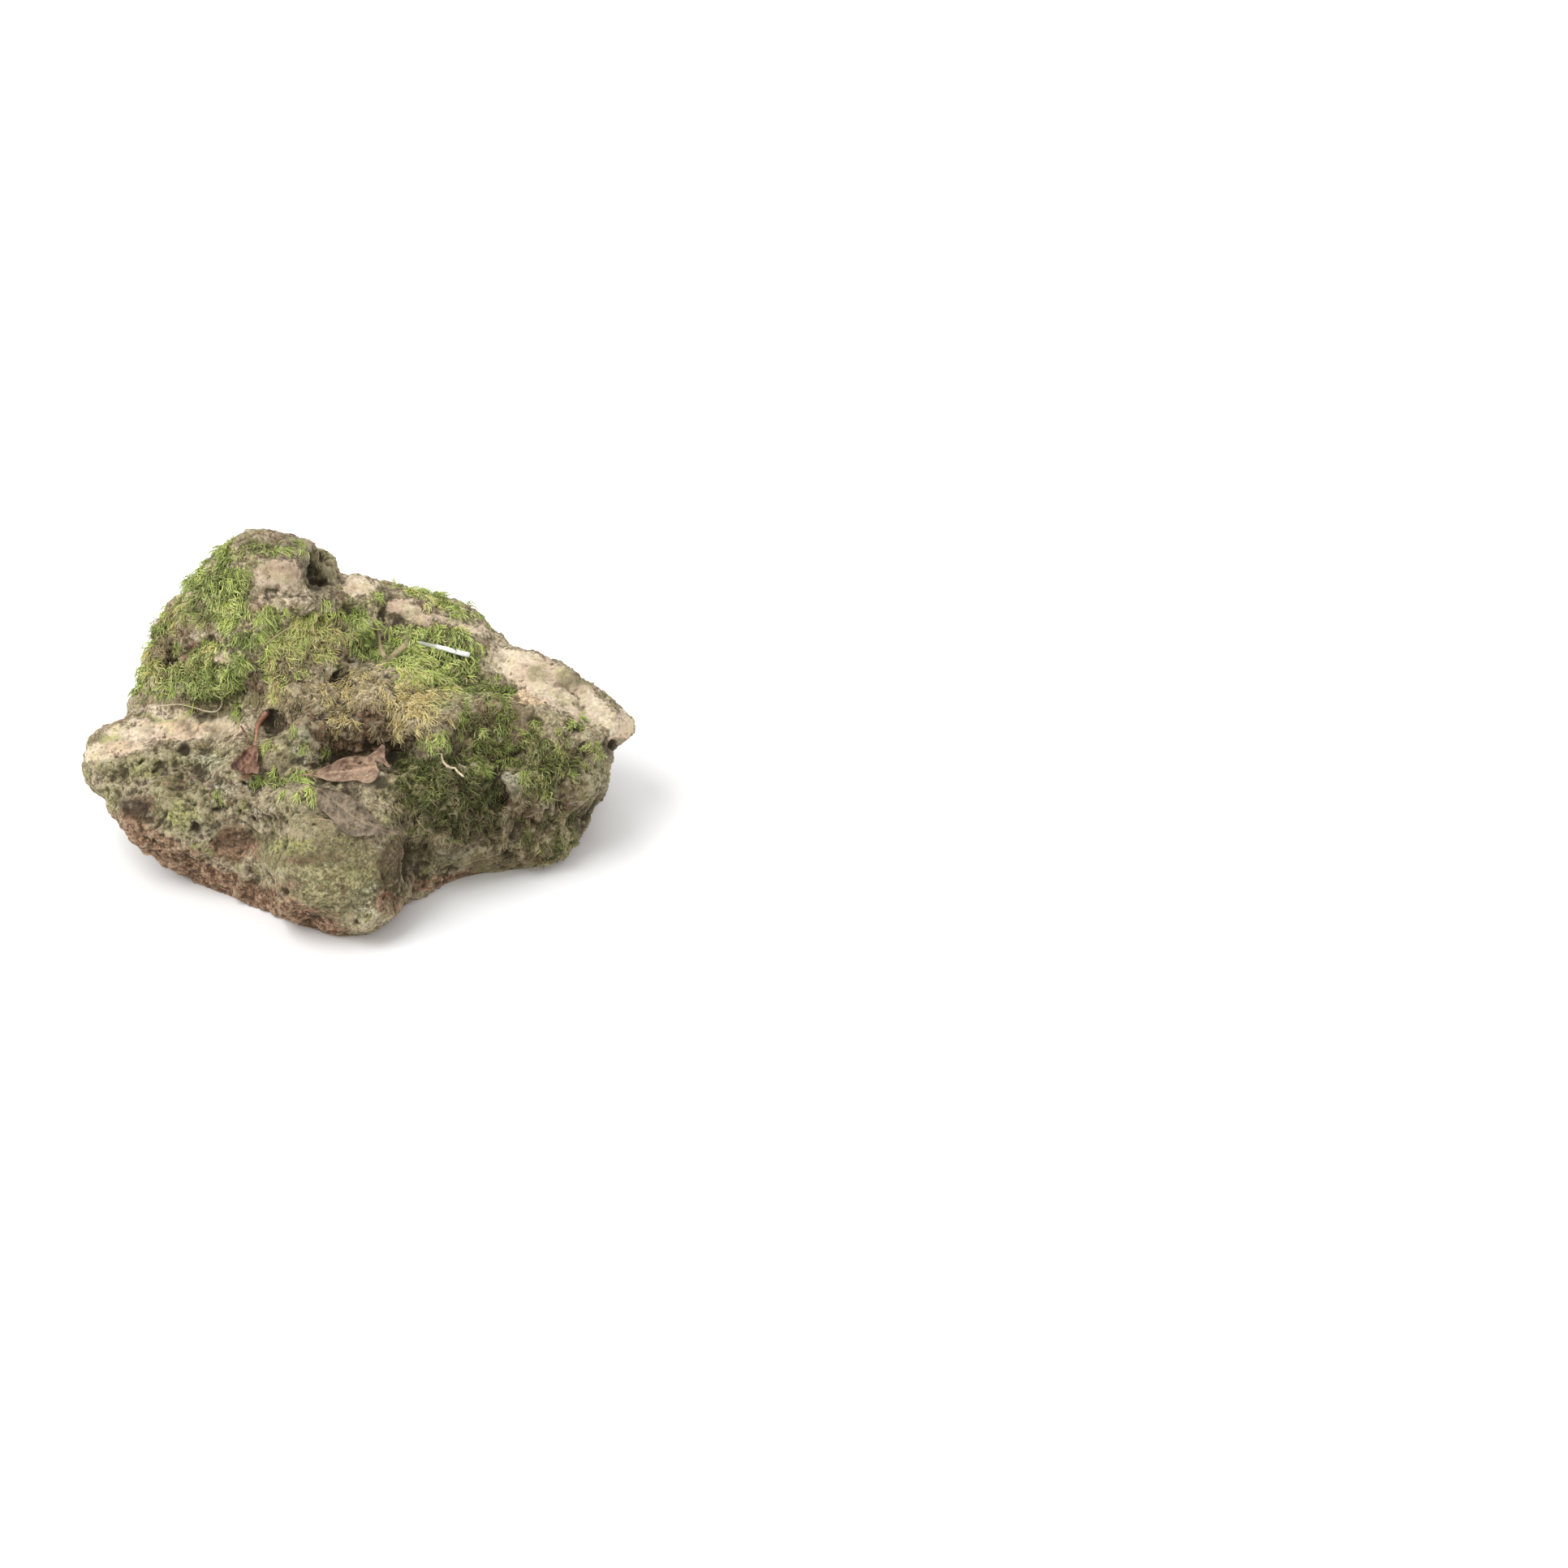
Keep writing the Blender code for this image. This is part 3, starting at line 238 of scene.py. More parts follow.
# Where moss grows and how thick. Where the kind is none, stone shows through.
GROWTH = {
    "dead": (
        (-6, 160, 34, 16, 0, 0.6), (0, 136, 46, 16, 0, 0.3), (-50, 150, 16, 12, 0, 0.7),
        (60, 72, 40, 18, 0, 0.45), (110, 82, 26, 18, 0, 0.35), (-30, 124, 14, 14, 0, 0.15),
        (-108, 206, 16, 14, 0, 0.9), (-66, 176, 8, 16, 0, 0.6), (-126, 190, 14, 20, 0, 0.9),
        (-40, 172, 22, 14, 0, 0.9), (-12, 196, 12, 10, 0, 0.6), (56, 150, 8, 6, 0, 0.7),
        (72, 140, 24, 24, 0, 0.6), (50, 84, 34, 20, 0, 0.55), (126, 112, 24, 22, 0, 0.4),
        (118, 54, 22, 8, 5, 1.2), (-26, 240, 8, 8, 0, 0.4), (-96, 152, 24, 5, 0, 0.7),
    ),
    "gold": (
        (-4, 158, 30, 12, 0, 0.25), (-28, 193, 10, 9, 0, 1.3), (-53, 160, 5, 10, 15, 1.1),
        (30, 153, 12, 5, 0, 0.9), (34, 141, 12, 9, 0, 1.9), (3, 169, 8, 5, 0, 1.0),
        (-11, 143, 7, 6, 0, 1.1), (-14, 134, 7, 7, 0, 1.1), (118, 52, 16, 5, 5, 0.5),
    ),
    "green": (
        (-34, 126, 16, 12, 0, 0.25), (-86, 242, 9, 6, 35, 0.9), (-100, 229, 11, 8, 50, 1.1),
        (-78, 230, 7, 8, 0, 1.1), (-97, 212, 12, 12, 0, 0.9), (-62, 206, 10, 4.5, 0, 1.3),
        (-62, 194, 12, 6, 0, 1.2), (-124, 203, 10, 7, 30, 0.9), (-96, 167, 20, 8, 10, 1.3),
        (-76, 174, 5, 12, 0, 1.1), (-79, 150, 4, 6, 0, 0.8), (-2, 203, 8, 12, 0, 1.3),
        (40, 195, 18, 6, -8, 1.2), (64, 181, 12, 10, -20, 1.0), (20, 182, 8, 9, 0, 0.9),
        (56, 212.6, 30, 2.8, -22, 1.1), (40, 223, 7, 4, -40, 0.8), (84, 158, 10, 4, -10, 0.8),
        (68, 142, 5, 16, 0, 1.0), (50, 125, 11, 8, 0, 1.0), (91, 125, 7, 10, 0, 1.3),
        (76, 108, 8, 7, 0, 0.8), (44, 100, 14, 8, 0, 0.5), (112, 134, 5, 7, 0, 1.2),
        (130, 118, 7, 7, 0, 1.0), (134, 108, 5, 6, 0, 1.2), (-50, 102, 18, 1.6, 5, 1.3),
        (-87, 93, 5, 3.6, 0, 0.7), (9, 216, 3.6, 8, 0, 0.6),
    ),
    "lime": (
        (-50, 249, 6, 2.6, 0, 1.2), (-84, 213, 8, 14, 5, 1.4), (-121, 160, 6, 4, 30, 0.9),
        (46, 174, 22, 9, -8, 1.9), (94, 114, 6, 5, 0, 1.0), (112, 104, 5, 5, 0, 0.9),
        (118, 96, 6, 4, 0, 0.8), (-32, 92, 2.6, 5, 0, 1.3), (-56, 122, 6, 3, 0, 0.7),
    ),
    "dark": (
        (-66, 248, 8, 2.4, 0, 1.0), (-92, 222, 14, 12, 20, 0.5), (-74, 192, 9, 6, 0, 1.0),
        (-94, 162, 20, 8, 8, 0.7), (6, 188, 8, 8, 0, 0.9), (60, 196, 12, 6, -10, 0.5),
        (76, 159, 18, 5, -10, 1.1), (80, 132, 10, 14, 0, 0.7), (48, 96, 28, 20, 0, 1.0),
        (70, 86, 20, 18, 0, 0.9), (118, 110, 18, 20, 0, 0.8), (120, 66, 26, 16, 0, 0.5),
        (-136, 108, 16, 6, 0, 0.15),
    ),
    "mellow": (
        (-32, 204, 14, 4, 0, 1.3), (-44, 190, 18, 9, 25, 1.7), (-133, 180, 5, 14, 10, 1.4),
        (-118, 208, 12, 8, 30, 0.5), (-98, 181, 22, 4, 31, 1.4), (-58, 171, 5, 5, 0, 0.9),
        (-24, 180, 14, 6, 0, 0.5), (36, 168, 18, 5, -8, 0.6), (44, 217, 14, 2.4, -22, 1.0),
        (52, 152, 10, 8, 0, 1.0), (38, 160, 18, 5, 0, 0.8),
    ),
    "none": (
        (-120, 168, 4, 12, 0, 1.0), (-66, 170, 7, 11, 0, 0.7), (-109, 195, 11, 5, 0, 0.6),
        (-70, 205, 5, 4, 0, 0.8), (-85, 236, 4, 4, 0, 0.7), (-22, 172, 10, 6, 0, 0.5),
        (-34, 134, 7, 7, 0, 0.8), (0, 140, 5, 7, 0, 0.7), (23, 122, 6, 7, 0, 1.0),
        (66, 154, 4, 4, 0, 0.6), (78, 148, 8, 6, 0, 0.9), (99, 98, 6, 9, 0, 0.8),
    ),
}

# Each kind of moss: how gold, how fresh and how pale it is, the length and thickness of a strand, and
# the strands in a spray.
KINDS = {
    "lime": (0.18, 1.0, 0.3, 7.8, 0.36, 9), "green": (0.0, 0.78, 0.05, 7.6, 0.34, 9),
    "gold": (0.75, 1.0, 0.2, 8.2, 0.3, 9), "mellow": (0.5, 1.0, 0.7, 7.8, 0.33, 9),
    "dark": (0.1, 0.34, 0.0, 5.4, 0.27, 10), "dead": (0.75, 0.22, 0.1, 5.4, 0.2, 9),
}

# The mats: the solid each one stands for, and its own kind of moss.
MATS = {
    "moss_peak": "green", "moss_outer_flank": "green", "moss_brow": "green", "moss_middle": "lime",
    "moss_saddle": "green", "moss_ridge": "lime", "moss_crest": "green", "moss_gold": "gold",
    "moss_gold_small": "gold", "moss_right_high": "green", "moss_right_low": "dark",
    "moss_right_end": "green", "moss_ledge": "lime", "moss_foot": "dead", "moss_back_peak": "green",
    "moss_back_ridge": "green",
}
# How many sprays grow in all, how far their strands' feet lie apart and how low the lowest one is.
SPRAYS = 2950
FOOT_SPREAD = 1.2
LOWEST_SPRAY = 8 * MM
# How much grows on a mat at least, and on a mat whose strands lie flat.
LEAST_GROWTH = 0.35
LEAST_FLAT_GROWTH = 0.08
# The share of a mat's height that its strands fill, where they lie flatter than the mat.
LOW_MATS = {"moss_crest": 0.4, "moss_ledge": 0.5}
STRAND_STEPS = 4
# How much a strand droops towards its tip, and how far above its mat it may stand.
DROOP = 1.2 * MM
# Curled sprigs that stand up from the crest: places on the sheet from foot to tip.
SPRIGS = (
    ((47, 217.4), (44.8, 220.6), (41, 223.4), (35, 225.4)),
    ((45, 218), (42.4, 220), (38.6, 221.4), (36, 223)),
    ((48, 217), (47, 219.4), (45.2, 221.8), (42.6, 222.6)),
    ((42, 219), (38.6, 221.2), (35.4, 222), (33, 224)),
    ((24.4, 225), (23, 226.8), (21.6, 228.4), (21.4, 230)),
)
# The share of strands that fork.
FORKED = 0.4
# How far from a mat's solid its strands still stand, and how high the solid is looked for above a foot.
MAT_EDGE = 40 * MM
MAT_PROBE = 9


# The leaves: outline on the sheet, holes (place, half sizes, turn), midrib, curl of the rim, crumpling.
LEAVES = {
    "leaf_upper": dict(
        outline=(
            (-40, 103.4), (-34, 104.6), (-29, 106.4), (-20, 110), (-11.5, 114.4), (-3.3, 115.9), (4.9, 116.2),
            (9.4, 119), (15.2, 123.4), (16.5, 119), (16.3, 114.4), (20, 108.9), (15.4, 110.8), (12.2, 112.6),
            (9.9, 113), (11.3, 109.6), (12.4, 105.2), (8.4, 99.9), (2.2, 99.2), (-3.3, 100.9), (-12.8, 99.9),
            (-19.7, 100.4), (-26.5, 102.6), (-34, 103.4),
        ),
        holes=((0.3, 111.8, 1.8, 0.7, 10), (4.2, 104.2, 1.3, 0.4, 40), (-10, 107.2, 1.2, 0.35, -20)),
        midrib=((-40, 104), (-20, 105.4), (0, 107.6), (12, 110)), curl=1.6, crumple=2.6,
    ),
    "leaf_lower": dict(
        outline=(
            (-24, 96.2), (-27.4, 91.8), (-26.6, 85), (-20, 78), (-14, 72.2), (-6.4, 66), (2.2, 65),
            (12, 66.2), (19, 66), (26, 65.9), (19.4, 69.6), (10.4, 75.2), (4.9, 80.8), (-0.5, 86),
            (-8.7, 91.6), (-17, 95),
        ),
        holes=((-14.5, 84, 0.8, 0.35, -60), (-18, 88.5, 0.6, 0.3, 20)),
        midrib=((-25, 95), (-12, 84), (2, 74), (24, 66.4)), curl=1.8, crumple=3.2,
    ),
    "leaf_curled": dict(
        outline=(
            (-77.4, 136.6), (-75.6, 134), (-74, 129.4), (-71.6, 125), (-71.4, 121.4), (-74.6, 119.4),
            (-76, 116), (-79, 113.6), (-82.6, 110), (-81, 107.4), (-77.6, 107), (-74, 105), (-69, 105.8),
            (-65.4, 105), (-64.2, 109), (-65.6, 112.6), (-64.8, 118), (-66, 122), (-67, 125.6),
            (-68.6, 122.4), (-70.4, 123.6), (-72.2, 129.4), (-75, 135),
        ),
        holes=(), midrib=((-76, 108), (-71, 113), (-68, 119), (-67, 125)), curl=2.2, crumple=3.0,
    ),
}
LEAF_THICKNESS = 0.35 * MM
# The spacing of the points inside a leaf, on the sheet.
LEAF_GRID = 0.6
HOLE_SIDES = 12

# The stems: places on the sheet, half thicknesses, how round they are and how knotty.
STEMS = {
    "leaf_stalk": (
        ((-59.5, 144), (-61.6, 141.4), (-65, 136), (-66, 130), (-67, 123)),
        (2.0, 1.9, 1.2, 0.8, 0.8), 1, 0.15,
    ),
    "grass_stem": (
        (
            (-133, 149), (-126, 148.6), (-116, 149.4), (-107, 147.6), (-98, 145), (-92, 145), (-88.4, 149),
            (-88.6, 156),
        ),
        (0.25, 0.35, 0.45, 0.45, 0.5, 0.4, 0.3, 0.2), 1, 0.1,
    ),
    "bleached_stem": (
        ((38, 189), (46, 187), (54, 185.2), (62, 183), (70, 181)), (1.0, 1.3, 1.5, 1.6, 1.7), 0.5, 0.08,
    ),
    "snapped_twig": (((12, 199), (12.8, 191), (14, 184), (16.6, 179)), (0.8, 1.0, 1.4, 1.9), 0.8, 0.7),
    "snapped_twig_end": (((18, 177.6), (23, 181.4), (29.6, 187.4)), (1.5, 2.1, 1.7), 0.8, 0.6),
    "fine_twig": (((-62, 186.6), (-52, 194), (-42, 200.4)), (0.5, 0.6, 0.35), 1, 0.2),
    "pale_stalk": (
        ((52.6, 118), (53.2, 113.6), (55.4, 110.4), (58.6, 108.6), (61, 108.4), (64, 105.2), (67, 103)),
        (0.4, 0.6, 0.9, 0.8, 0.6, 0.7, 0.4), 0.8, 0.8,
    ),
}
STEM_SIDES = 10

# The most that leaves and stems are let down from their solids' places, along the line of sight.
LEAF_SINK = 5.5 * MM
STEM_SINK = 6.5 * MM

# How much further the gold of each moss slot goes.
WARMTHS = {"green_moss": 0.0, "gold_moss": 0.2, "dark_moss": 0.0}

# The looks of leaves and stems: dark and pale colour, roughness, spots, mould, gloss and how worn one end is.
PLANTS = {
    "tan_leaf": ((0.218, 0.135, 0.09), (0.385, 0.26, 0.172), 0.75, 0.6, 0.1),
    "grey_leaf": ((0.135, 0.102, 0.066), (0.265, 0.2, 0.133), 0.8, 0.6, 0.35),
    "red_leaf": ((0.10, 0.042, 0.028), (0.27, 0.145, 0.09), 0.6, 0.5, 0.2),
    "straw": ((0.33, 0.25, 0.16), (0.56, 0.47, 0.32), 0.6, 0.3),
    "bleached": ((0.55, 0.58, 0.55), (0.80, 0.87, 0.88), 0.5, 0.1, 0.0, 0.0, 0.85),
    "dead_wood": ((0.12, 0.09, 0.045), (0.32, 0.26, 0.145), 0.85, 0.8, 0.3),
    "red_stalk": ((0.16, 0.06, 0.035), (0.36, 0.16, 0.10), 0.4, 0.2, 0.0, 0.6),
}


def smooth_step(values, low, high):
    share = np.clip((values - low) / (high - low), 0, 1)
    return share * share * (3 - 2 * share)


def on_sheet(points):
    """Where points appear on the sheet, in millimetres, and how far off they are in metres."""
    ray = points - np.array(EYE)
    away = ray @ SIGHT_FORWARD
    across = SHEET_ACROSS + EYE_DISTANCE / MM * (ray @ SIGHT_RIGHT) / away
    up = SHEET_UP + EYE_DISTANCE / MM * (ray @ SIGHT_UPWARD) / away
    return across, up, away


def sheet_ray(x, y):
    """The way from the eye through a place on the sheet."""
    step = MM / EYE_DISTANCE
    way = SIGHT_FORWARD + (x - SHEET_ACROSS) * step * SIGHT_RIGHT + (y - SHEET_UP) * step * SIGHT_UPWARD
    return Vector(way)


def vectors_of(rows, field):
    values = np.empty(len(rows) * 3, np.float32)
    rows.foreach_get(field, values)
    return values.reshape(-1, 3).astype(float)


def on_sight_lines(spots, away):
    """The points that lie so far along the sight lines through spots of the sheet."""
    return [EYE + sheet_ray(x, y) * float(depth) for (x, y), depth in zip(spots, away)]


def points_of(mesh):
    return vectors_of(mesh.vertices, "co")


def normals_of(mesh):
    return vectors_of(mesh.vertex_normals, "vector")


def move_points(mesh, points):
    mesh.vertices.foreach_set("co", points.astype(np.float32).ravel())
    mesh.update()


def set_shade(mesh, name, values):
    """Stores a value at each point of the mesh for its material."""
    layer = mesh.attributes.get(name) or mesh.attributes.new(name, "FLOAT", "POINT")
    layer.data.foreach_set("value", np.asarray(values, np.float32))


def added(name, data):
    """A new object in the scene."""
    thing = bpy.data.objects.new(name, data)
    bpy.context.scene.collection.objects.link(thing)
    return thing


def settled(thing):
    """The object's mesh with its modifiers applied; the object itself is removed."""
    graph = bpy.context.evaluated_depsgraph_get()
    mesh = bpy.data.meshes.new_from_object(thing.evaluated_get(graph))
    bpy.data.objects.remove(thing, do_unlink=True)
    return mesh


def new_mesh(name, verts, faces):
    mesh = bpy.data.meshes.new(name)
    mesh.from_pydata([tuple(v) for v in verts], [], faces)
    mesh.update()
    return mesh


@contextmanager
def edited(mesh):
    """Opens a mesh for changes and writes them back."""
    shape = bmesh.new()
    shape.from_mesh(mesh)
    yield shape
    shape.to_mesh(mesh)
    shape.free()


def placed(name, mesh, node, material):
    """A finished piece that stands for a node of the part."""
    piece = added(name, mesh)
    mesh.materials.clear()
    mesh.materials.append(material)
    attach(piece, "root")
    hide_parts(node)


def tree_of(meshes):
    corners, faces = [], []
    for mesh in meshes:
        first = len(corners)
        corners += [vertex.co.copy() for vertex in mesh.vertices]
        faces += [[first + i for i in face.vertices] for face in mesh.polygons]
    return BVHTree.FromPolygons(corners, faces)


def within(across, up, x, y, wide, high, turn):
    """How far off a patch of the sheet points are: 0 in its middle and 1 on its rim."""
    cosine, sine = math.cos(math.radians(turn)), math.sin(math.radians(turn))
    along = ((across - x) * cosine + (up - y) * sine) / wide
    over = ((up - y) * cosine - (across - x) * sine) / high
    return np.hypot(along, over)


def facing_eye(points, normals):
    """How far each point faces the eye, from 0 to 1."""
    to_eye = np.array(EYE) - points
    to_eye /= np.linalg.norm(to_eye, axis=1)[:, None]
    return smooth_step((normals * to_eye).sum(axis=1), 0.0, 0.3)


def noise_places(points, size, shift):
    """Where noise with lumps of the given size in millimetres is read for each point."""
    offset = Vector((shift, shift * 0.7, shift * 1.3))
    return [Vector(p) + offset for p in points / (size * MM)]


def noise_at(points, size, octaves=3, shift=0.0):
    """Soft noise between about -1 and 1."""
    return np.array([noise.fractal(p, 0.9, 2.1, octaves) for p in noise_places(points, size, shift)])


def cells_at(points, size, shift=0.0):
    """Distance to the nearest cell middle, and the step to the next, in cells of the given size."""
    found = np.array([noise.voronoi(p)[0][:2] for p in noise_places(points, size, shift)])
    return found[:, 0], found[:, 1] - found[:, 0]


# The stone


def stone_skin(rock):
    """The stone's solid as an even, fine skin."""
    thing = added("stone_skin", rock.data.copy())
    skin = thing.modifiers.new("even_skin", "REMESH")
    skin.mode = "VOXEL"
    skin.voxel_size = STONE_VOXEL
    soften = thing.modifiers.new("soften", "SMOOTH")
    soften.factor = 0.6
    soften.iterations = 12
    return settled(thing)


def cut_base(mesh):
    """Makes the face that the stone stands on flat and closes it with one face."""
    with edited(mesh) as shape:
        whole = shape.verts[:] + shape.edges[:] + shape.faces[:]
        level = (0, 0, BASE_CUT)
        bmesh.ops.bisect_plane(shape, geom=whole, plane_co=level, plane_no=(0, 0, -1), clear_outer=True)
        rim = [edge for edge in shape.edges if edge.is_boundary]
        bmesh.ops.holes_fill(shape, edges=rim, sides=0)
        for vertex in shape.verts:
            if vertex.co.z <= BASE_CUT + 1e-6:
                vertex.co.z = 0
        bmesh.ops.recalc_face_normals(shape, faces=shape.faces)


def spread_over(points, normals, table):
    """How strongly each kind of a table of patches is there at each point, on the side that shows."""
    across, up, _ = on_sheet(points)
    facing = facing_eye(points, normals)
    across = across + 4 * noise_at(points, 13, 3, 20.0)
    up = up + 4 * noise_at(points, 13, 3, 31.0)
    strengths = {}
    for kind, patches in table.items():
        strengths[kind] = np.zeros(len(points))
        for *patch, strength in patches:
            spot = (1 - smooth_step(within(across, up, *patch), 0.55, 1.3)) * strength * facing
            strengths[kind] = np.maximum(strengths[kind], spot)
    return strengths


def cell_pits(points, size, share, low, high, shift):
    """Round pits in some of the cells of a net of the given size, from 0 to 1 deep."""
    depth = np.zeros(len(points))
    for index, place in enumerate(noise_places(points, size, shift)):
        if share[index] <= 0.02:
            continue
        away, middles = noise.voronoi(place)
        if noise.cell(middles[0] * 7.3) * 0.5 + 0.5 > share[index]:
            continue
        radius = low + (high - low) * (noise.cell(middles[0] * 3.1) * 0.5 + 0.5)
        depth[index] = max(0.0, 1 - away[0] / radius)
    return smooth_step(depth, 0.0, 0.7)


def sculpt_stone(mesh):
    """Lumps, knobbles, pits, holes, cracks and grain over the stone's skin."""
    points, normals = points_of(mesh), normals_of(mesh)
    across, up, _ = on_sheet(points)
    facing = facing_eye(points, normals)
    kinds = spread_over(points, normals, TEXTURES)
    smooth = kinds["smooth"]
    pitted = np.maximum(kinds["pitted"], 0.35 * (1 - facing)) * (1 - 0.8 * smooth)
    crumbly = np.maximum(kinds["crumbly"], 0.4 * (1 - facing)) * (1 - 0.8 * smooth)
    rough = np.clip(1 - 0.75 * smooth, 0, 1)

    # broad lumps, then knobbles with joints between them
    near, gap = cells_at(points, 13, 3.0)
    push = 1.6 * noise_at(points, 30, 3, 5.0) * rough
    push += (0.5 - near) * 0.7 * crumbly
    push -= 1.0 * (1 - smooth_step(gap, 0.0, 0.2)) * crumbly
    push += 1.9 * noise_at(points, 10, 5, 1.0) * rough
    # sharp ridges and broken crust
    ridges = 1 - np.abs(noise_at(points, 11, 4, 41.0)) * 2.2
    push += 1.3 * ridges * np.maximum(crumbly, pitted) - 0.5
    broken = 0.55 - 1.7 * np.abs(noise_at(points, 6.5, 4, 11.0))
    push += 1.5 * broken * (0.15 + 0.85 * np.maximum(crumbly, pitted))
    # fine lines across the smooth faces, and creases elsewhere
    lined = noise_at(points * (0.2, 1, 1), 3.6, 3, 73.0)
    push += 0.45 * lined * smooth
    creases = np.abs(noise_at(points, 17, 4, 61.0))
    push -= 2.2 * (1 - smooth_step(creases, 0.0, 0.08)) * np.maximum(crumbly, 0.6 * pitted)
    # pits in two sizes, and grain
    bent = points + 1.6 * MM * np.array([noise_at(points, 5, 2, shift) for shift in (35.0, 46.0, 57.0)]).T
    push -= 2.2 * cell_pits(bent, 9.5, 0.3 * pitted, 0.15, 0.5, 14.0)
    push -= 1.5 * cell_pits(bent, 4.4, 0.04 + 0.26 * pitted, 0.2, 0.5, 24.0)
    push += (0.35 + 0.3 * rough) * noise_at(points, 2.6, 2, 2.0)

    # the lumps, hollows and holes that are placed one by one
    shift_x = 3.4 * noise_at(points, 7, 3, 82.0)
    shift_y = 3.4 * noise_at(points, 7, 3, 93.0)
    for *patch, height in FORMS:
        off = within(across + shift_x, up + shift_y, *patch)
        push += height * (1 - smooth_step(off, 0.35, 1.25)) * (1 + 0.5 * broken) * facing
    hollow = np.zeros(len(points))
    for x, y, radius, depth in HOLES:
        off = np.hypot(across + 0.7 * shift_x - x, 1.2 * (up + 0.7 * shift_y - y)) / radius
        hole = (1 - smooth_step(off, 0.45, 1.15)) * facing
        push -= depth * hole
        hollow = np.maximum(hollow, hole)
    # the underside stays flat
    push *= np.where(normals[:, 2] < -0.85, smooth_step(points[:, 2], 0.5 * MM, 4 * MM), 1)
    carved = points + normals * (push * MM)[:, None]
    move_points(mesh, carved)
    move_points(mesh, carved + (softened(mesh, 20) - carved) * kinds["even"][:, None])
    return hollow


def softened(mesh, rounds):
    """The points of the mesh after each has moved to the middle of its neighbours, the given times."""
    edges = np.empty(len(mesh.edges) * 2, np.int32)
    mesh.edges.foreach_get("vertices", edges)
    one, other = edges.reshape(-1, 2).T
    count = len(mesh.vertices)
    links = np.bincount(one, minlength=count) + np.bincount(other, minlength=count)
    soft = points_of(mesh)
    for _ in range(rounds):
        for axis in range(3):
            around = np.bincount(one, soft[other, axis], count) + np.bincount(other, soft[one, axis], count)
            soft[:, axis] = around / links
    return soft


def raised(mesh, rounds):
    """How far each point stands above the softened surface, in millimetres."""
    return ((points_of(mesh) - softened(mesh, rounds)) * normals_of(mesh)).sum(axis=1) / MM


def paint_stone(mesh, hollow, moss_tree):
    """Stores where the stone is bare, orange, soiled, green with algae or under moss, and where shade is
    painted on it: dark in holes and gaps, dim in hollows.
    """
    points, normals = points_of(mesh), normals_of(mesh)
    facing = facing_eye(points, normals)
    shades = spread_over(points, normals, STAINS)
    # the back is guessed: bare on top, algae on the slopes and soil low down
    back = 1 - facing
    upward = smooth_step(normals[:, 2], 0.1, 0.8)
    patches = smooth_step(noise_at(points, 40, 3, 44.0), -0.1, 0.3)
    shades["bare"] = np.maximum(shades["bare"], back * upward * 0.8)
    shades["algae"] = np.maximum(shades["algae"], back * patches * 0.7)
    low = 1 - smooth_step(points[:, 2] + 10 * MM * patches, 15 * MM, 45 * MM)
    shades["soil"] = np.maximum(shades["soil"], back * low * 0.9)
    # painted shade: the carved holes are painted dark
    shades["dark"] = np.maximum(shades["dark"], 0.8 * hollow)
    under = np.array([moss_tree.find_nearest(p)[3] for p in points]) / MM
    under = 1 - smooth_step(under + 3 * noise_at(points, 9, 2, 52.0), 0.5, 7.0)
    growth = spread_over(points, normals, GROWTH)
    brown = np.clip(growth["dead"] + 0.5 * growth["gold"], 0, 1)
    lush = np.clip(growth["lime"] + growth["green"] + growth["dark"] + growth["mellow"], 0, 1)
    under = np.maximum(under * (0.8 - 0.6 * facing), np.maximum(0.8 * brown, lush) * facing)
    under *= 1 - 0.8 * np.clip(growth["none"], 0, 1)
    shades["under_moss"] = under
    shades["lush"] = np.where(facing > 0.3, lush, 0.8)
    shades["bare"] *= 1 - 0.7 * under
    for name, values in shades.items():
        set_shade(mesh, name, values)
    # how high or deep each point lies in the relief, for the dirt and painted shade low down and the wear on
    # high places
    set_shade(mesh, "high", np.clip(0.5 + raised(mesh, 6) / 2.4, 0, 1))
    set_shade(mesh, "deep", np.clip(0.5 - raised(mesh, 60) / 8, 0, 1))


# Moss


def strand(mesh_lists, line, overs, radius, first_tone, shades):
    """A strand of moss along a line: three sides, closed at its foot and tapering to a point."""
    verts, faces, values = mesh_lists
    first = len(verts)
    last = len(line) - 1
    for k in range(last):
        along = (line[k + 1] - line[max(k - 1, 0)]).normalized()
        side = along.cross(overs[k]).normalized()
        over = side.cross(along)
        size = radius * (0.8 if k == 0 else 1 - 0.5 * (k / last) ** 2)
        for turn in (0.0, 2.1, 4.2):
            verts.append(line[k] + size * (math.cos(turn) * side + math.sin(turn) * over))
            values.append((first_tone + (0.75 - first_tone) * k / last, *shades))
    verts.append(line[-1])
    values.append((1.0, *shades))
    faces.append((first + 2, first + 1, first))
    for k in range(last - 1):
        for j in range(3):
            near, following = first + 3 * k + j, first + 3 * k + (j + 1) % 3
            faces.append((near, following, following + 3, near + 3))
    ring = first + 3 * (last - 1)
    for j in range(3):
        faces.append((ring + j, ring + (j + 1) % 3, ring + 3))


def fork(line, overs, chance):
    """A short side strand that leaves a strand at a small angle and runs beside it."""
    k = chance.choice((1, 2))
    step = line[k + 1] - line[k]
    side = step.cross(overs[k]).normalized() * step.length * chance.choice((-1, 1))
    middle = line[k] + 0.75 * step + 0.35 * side
    return [line[k], middle, middle + chance.uniform(0.5, 0.9) * step + 0.15 * side]


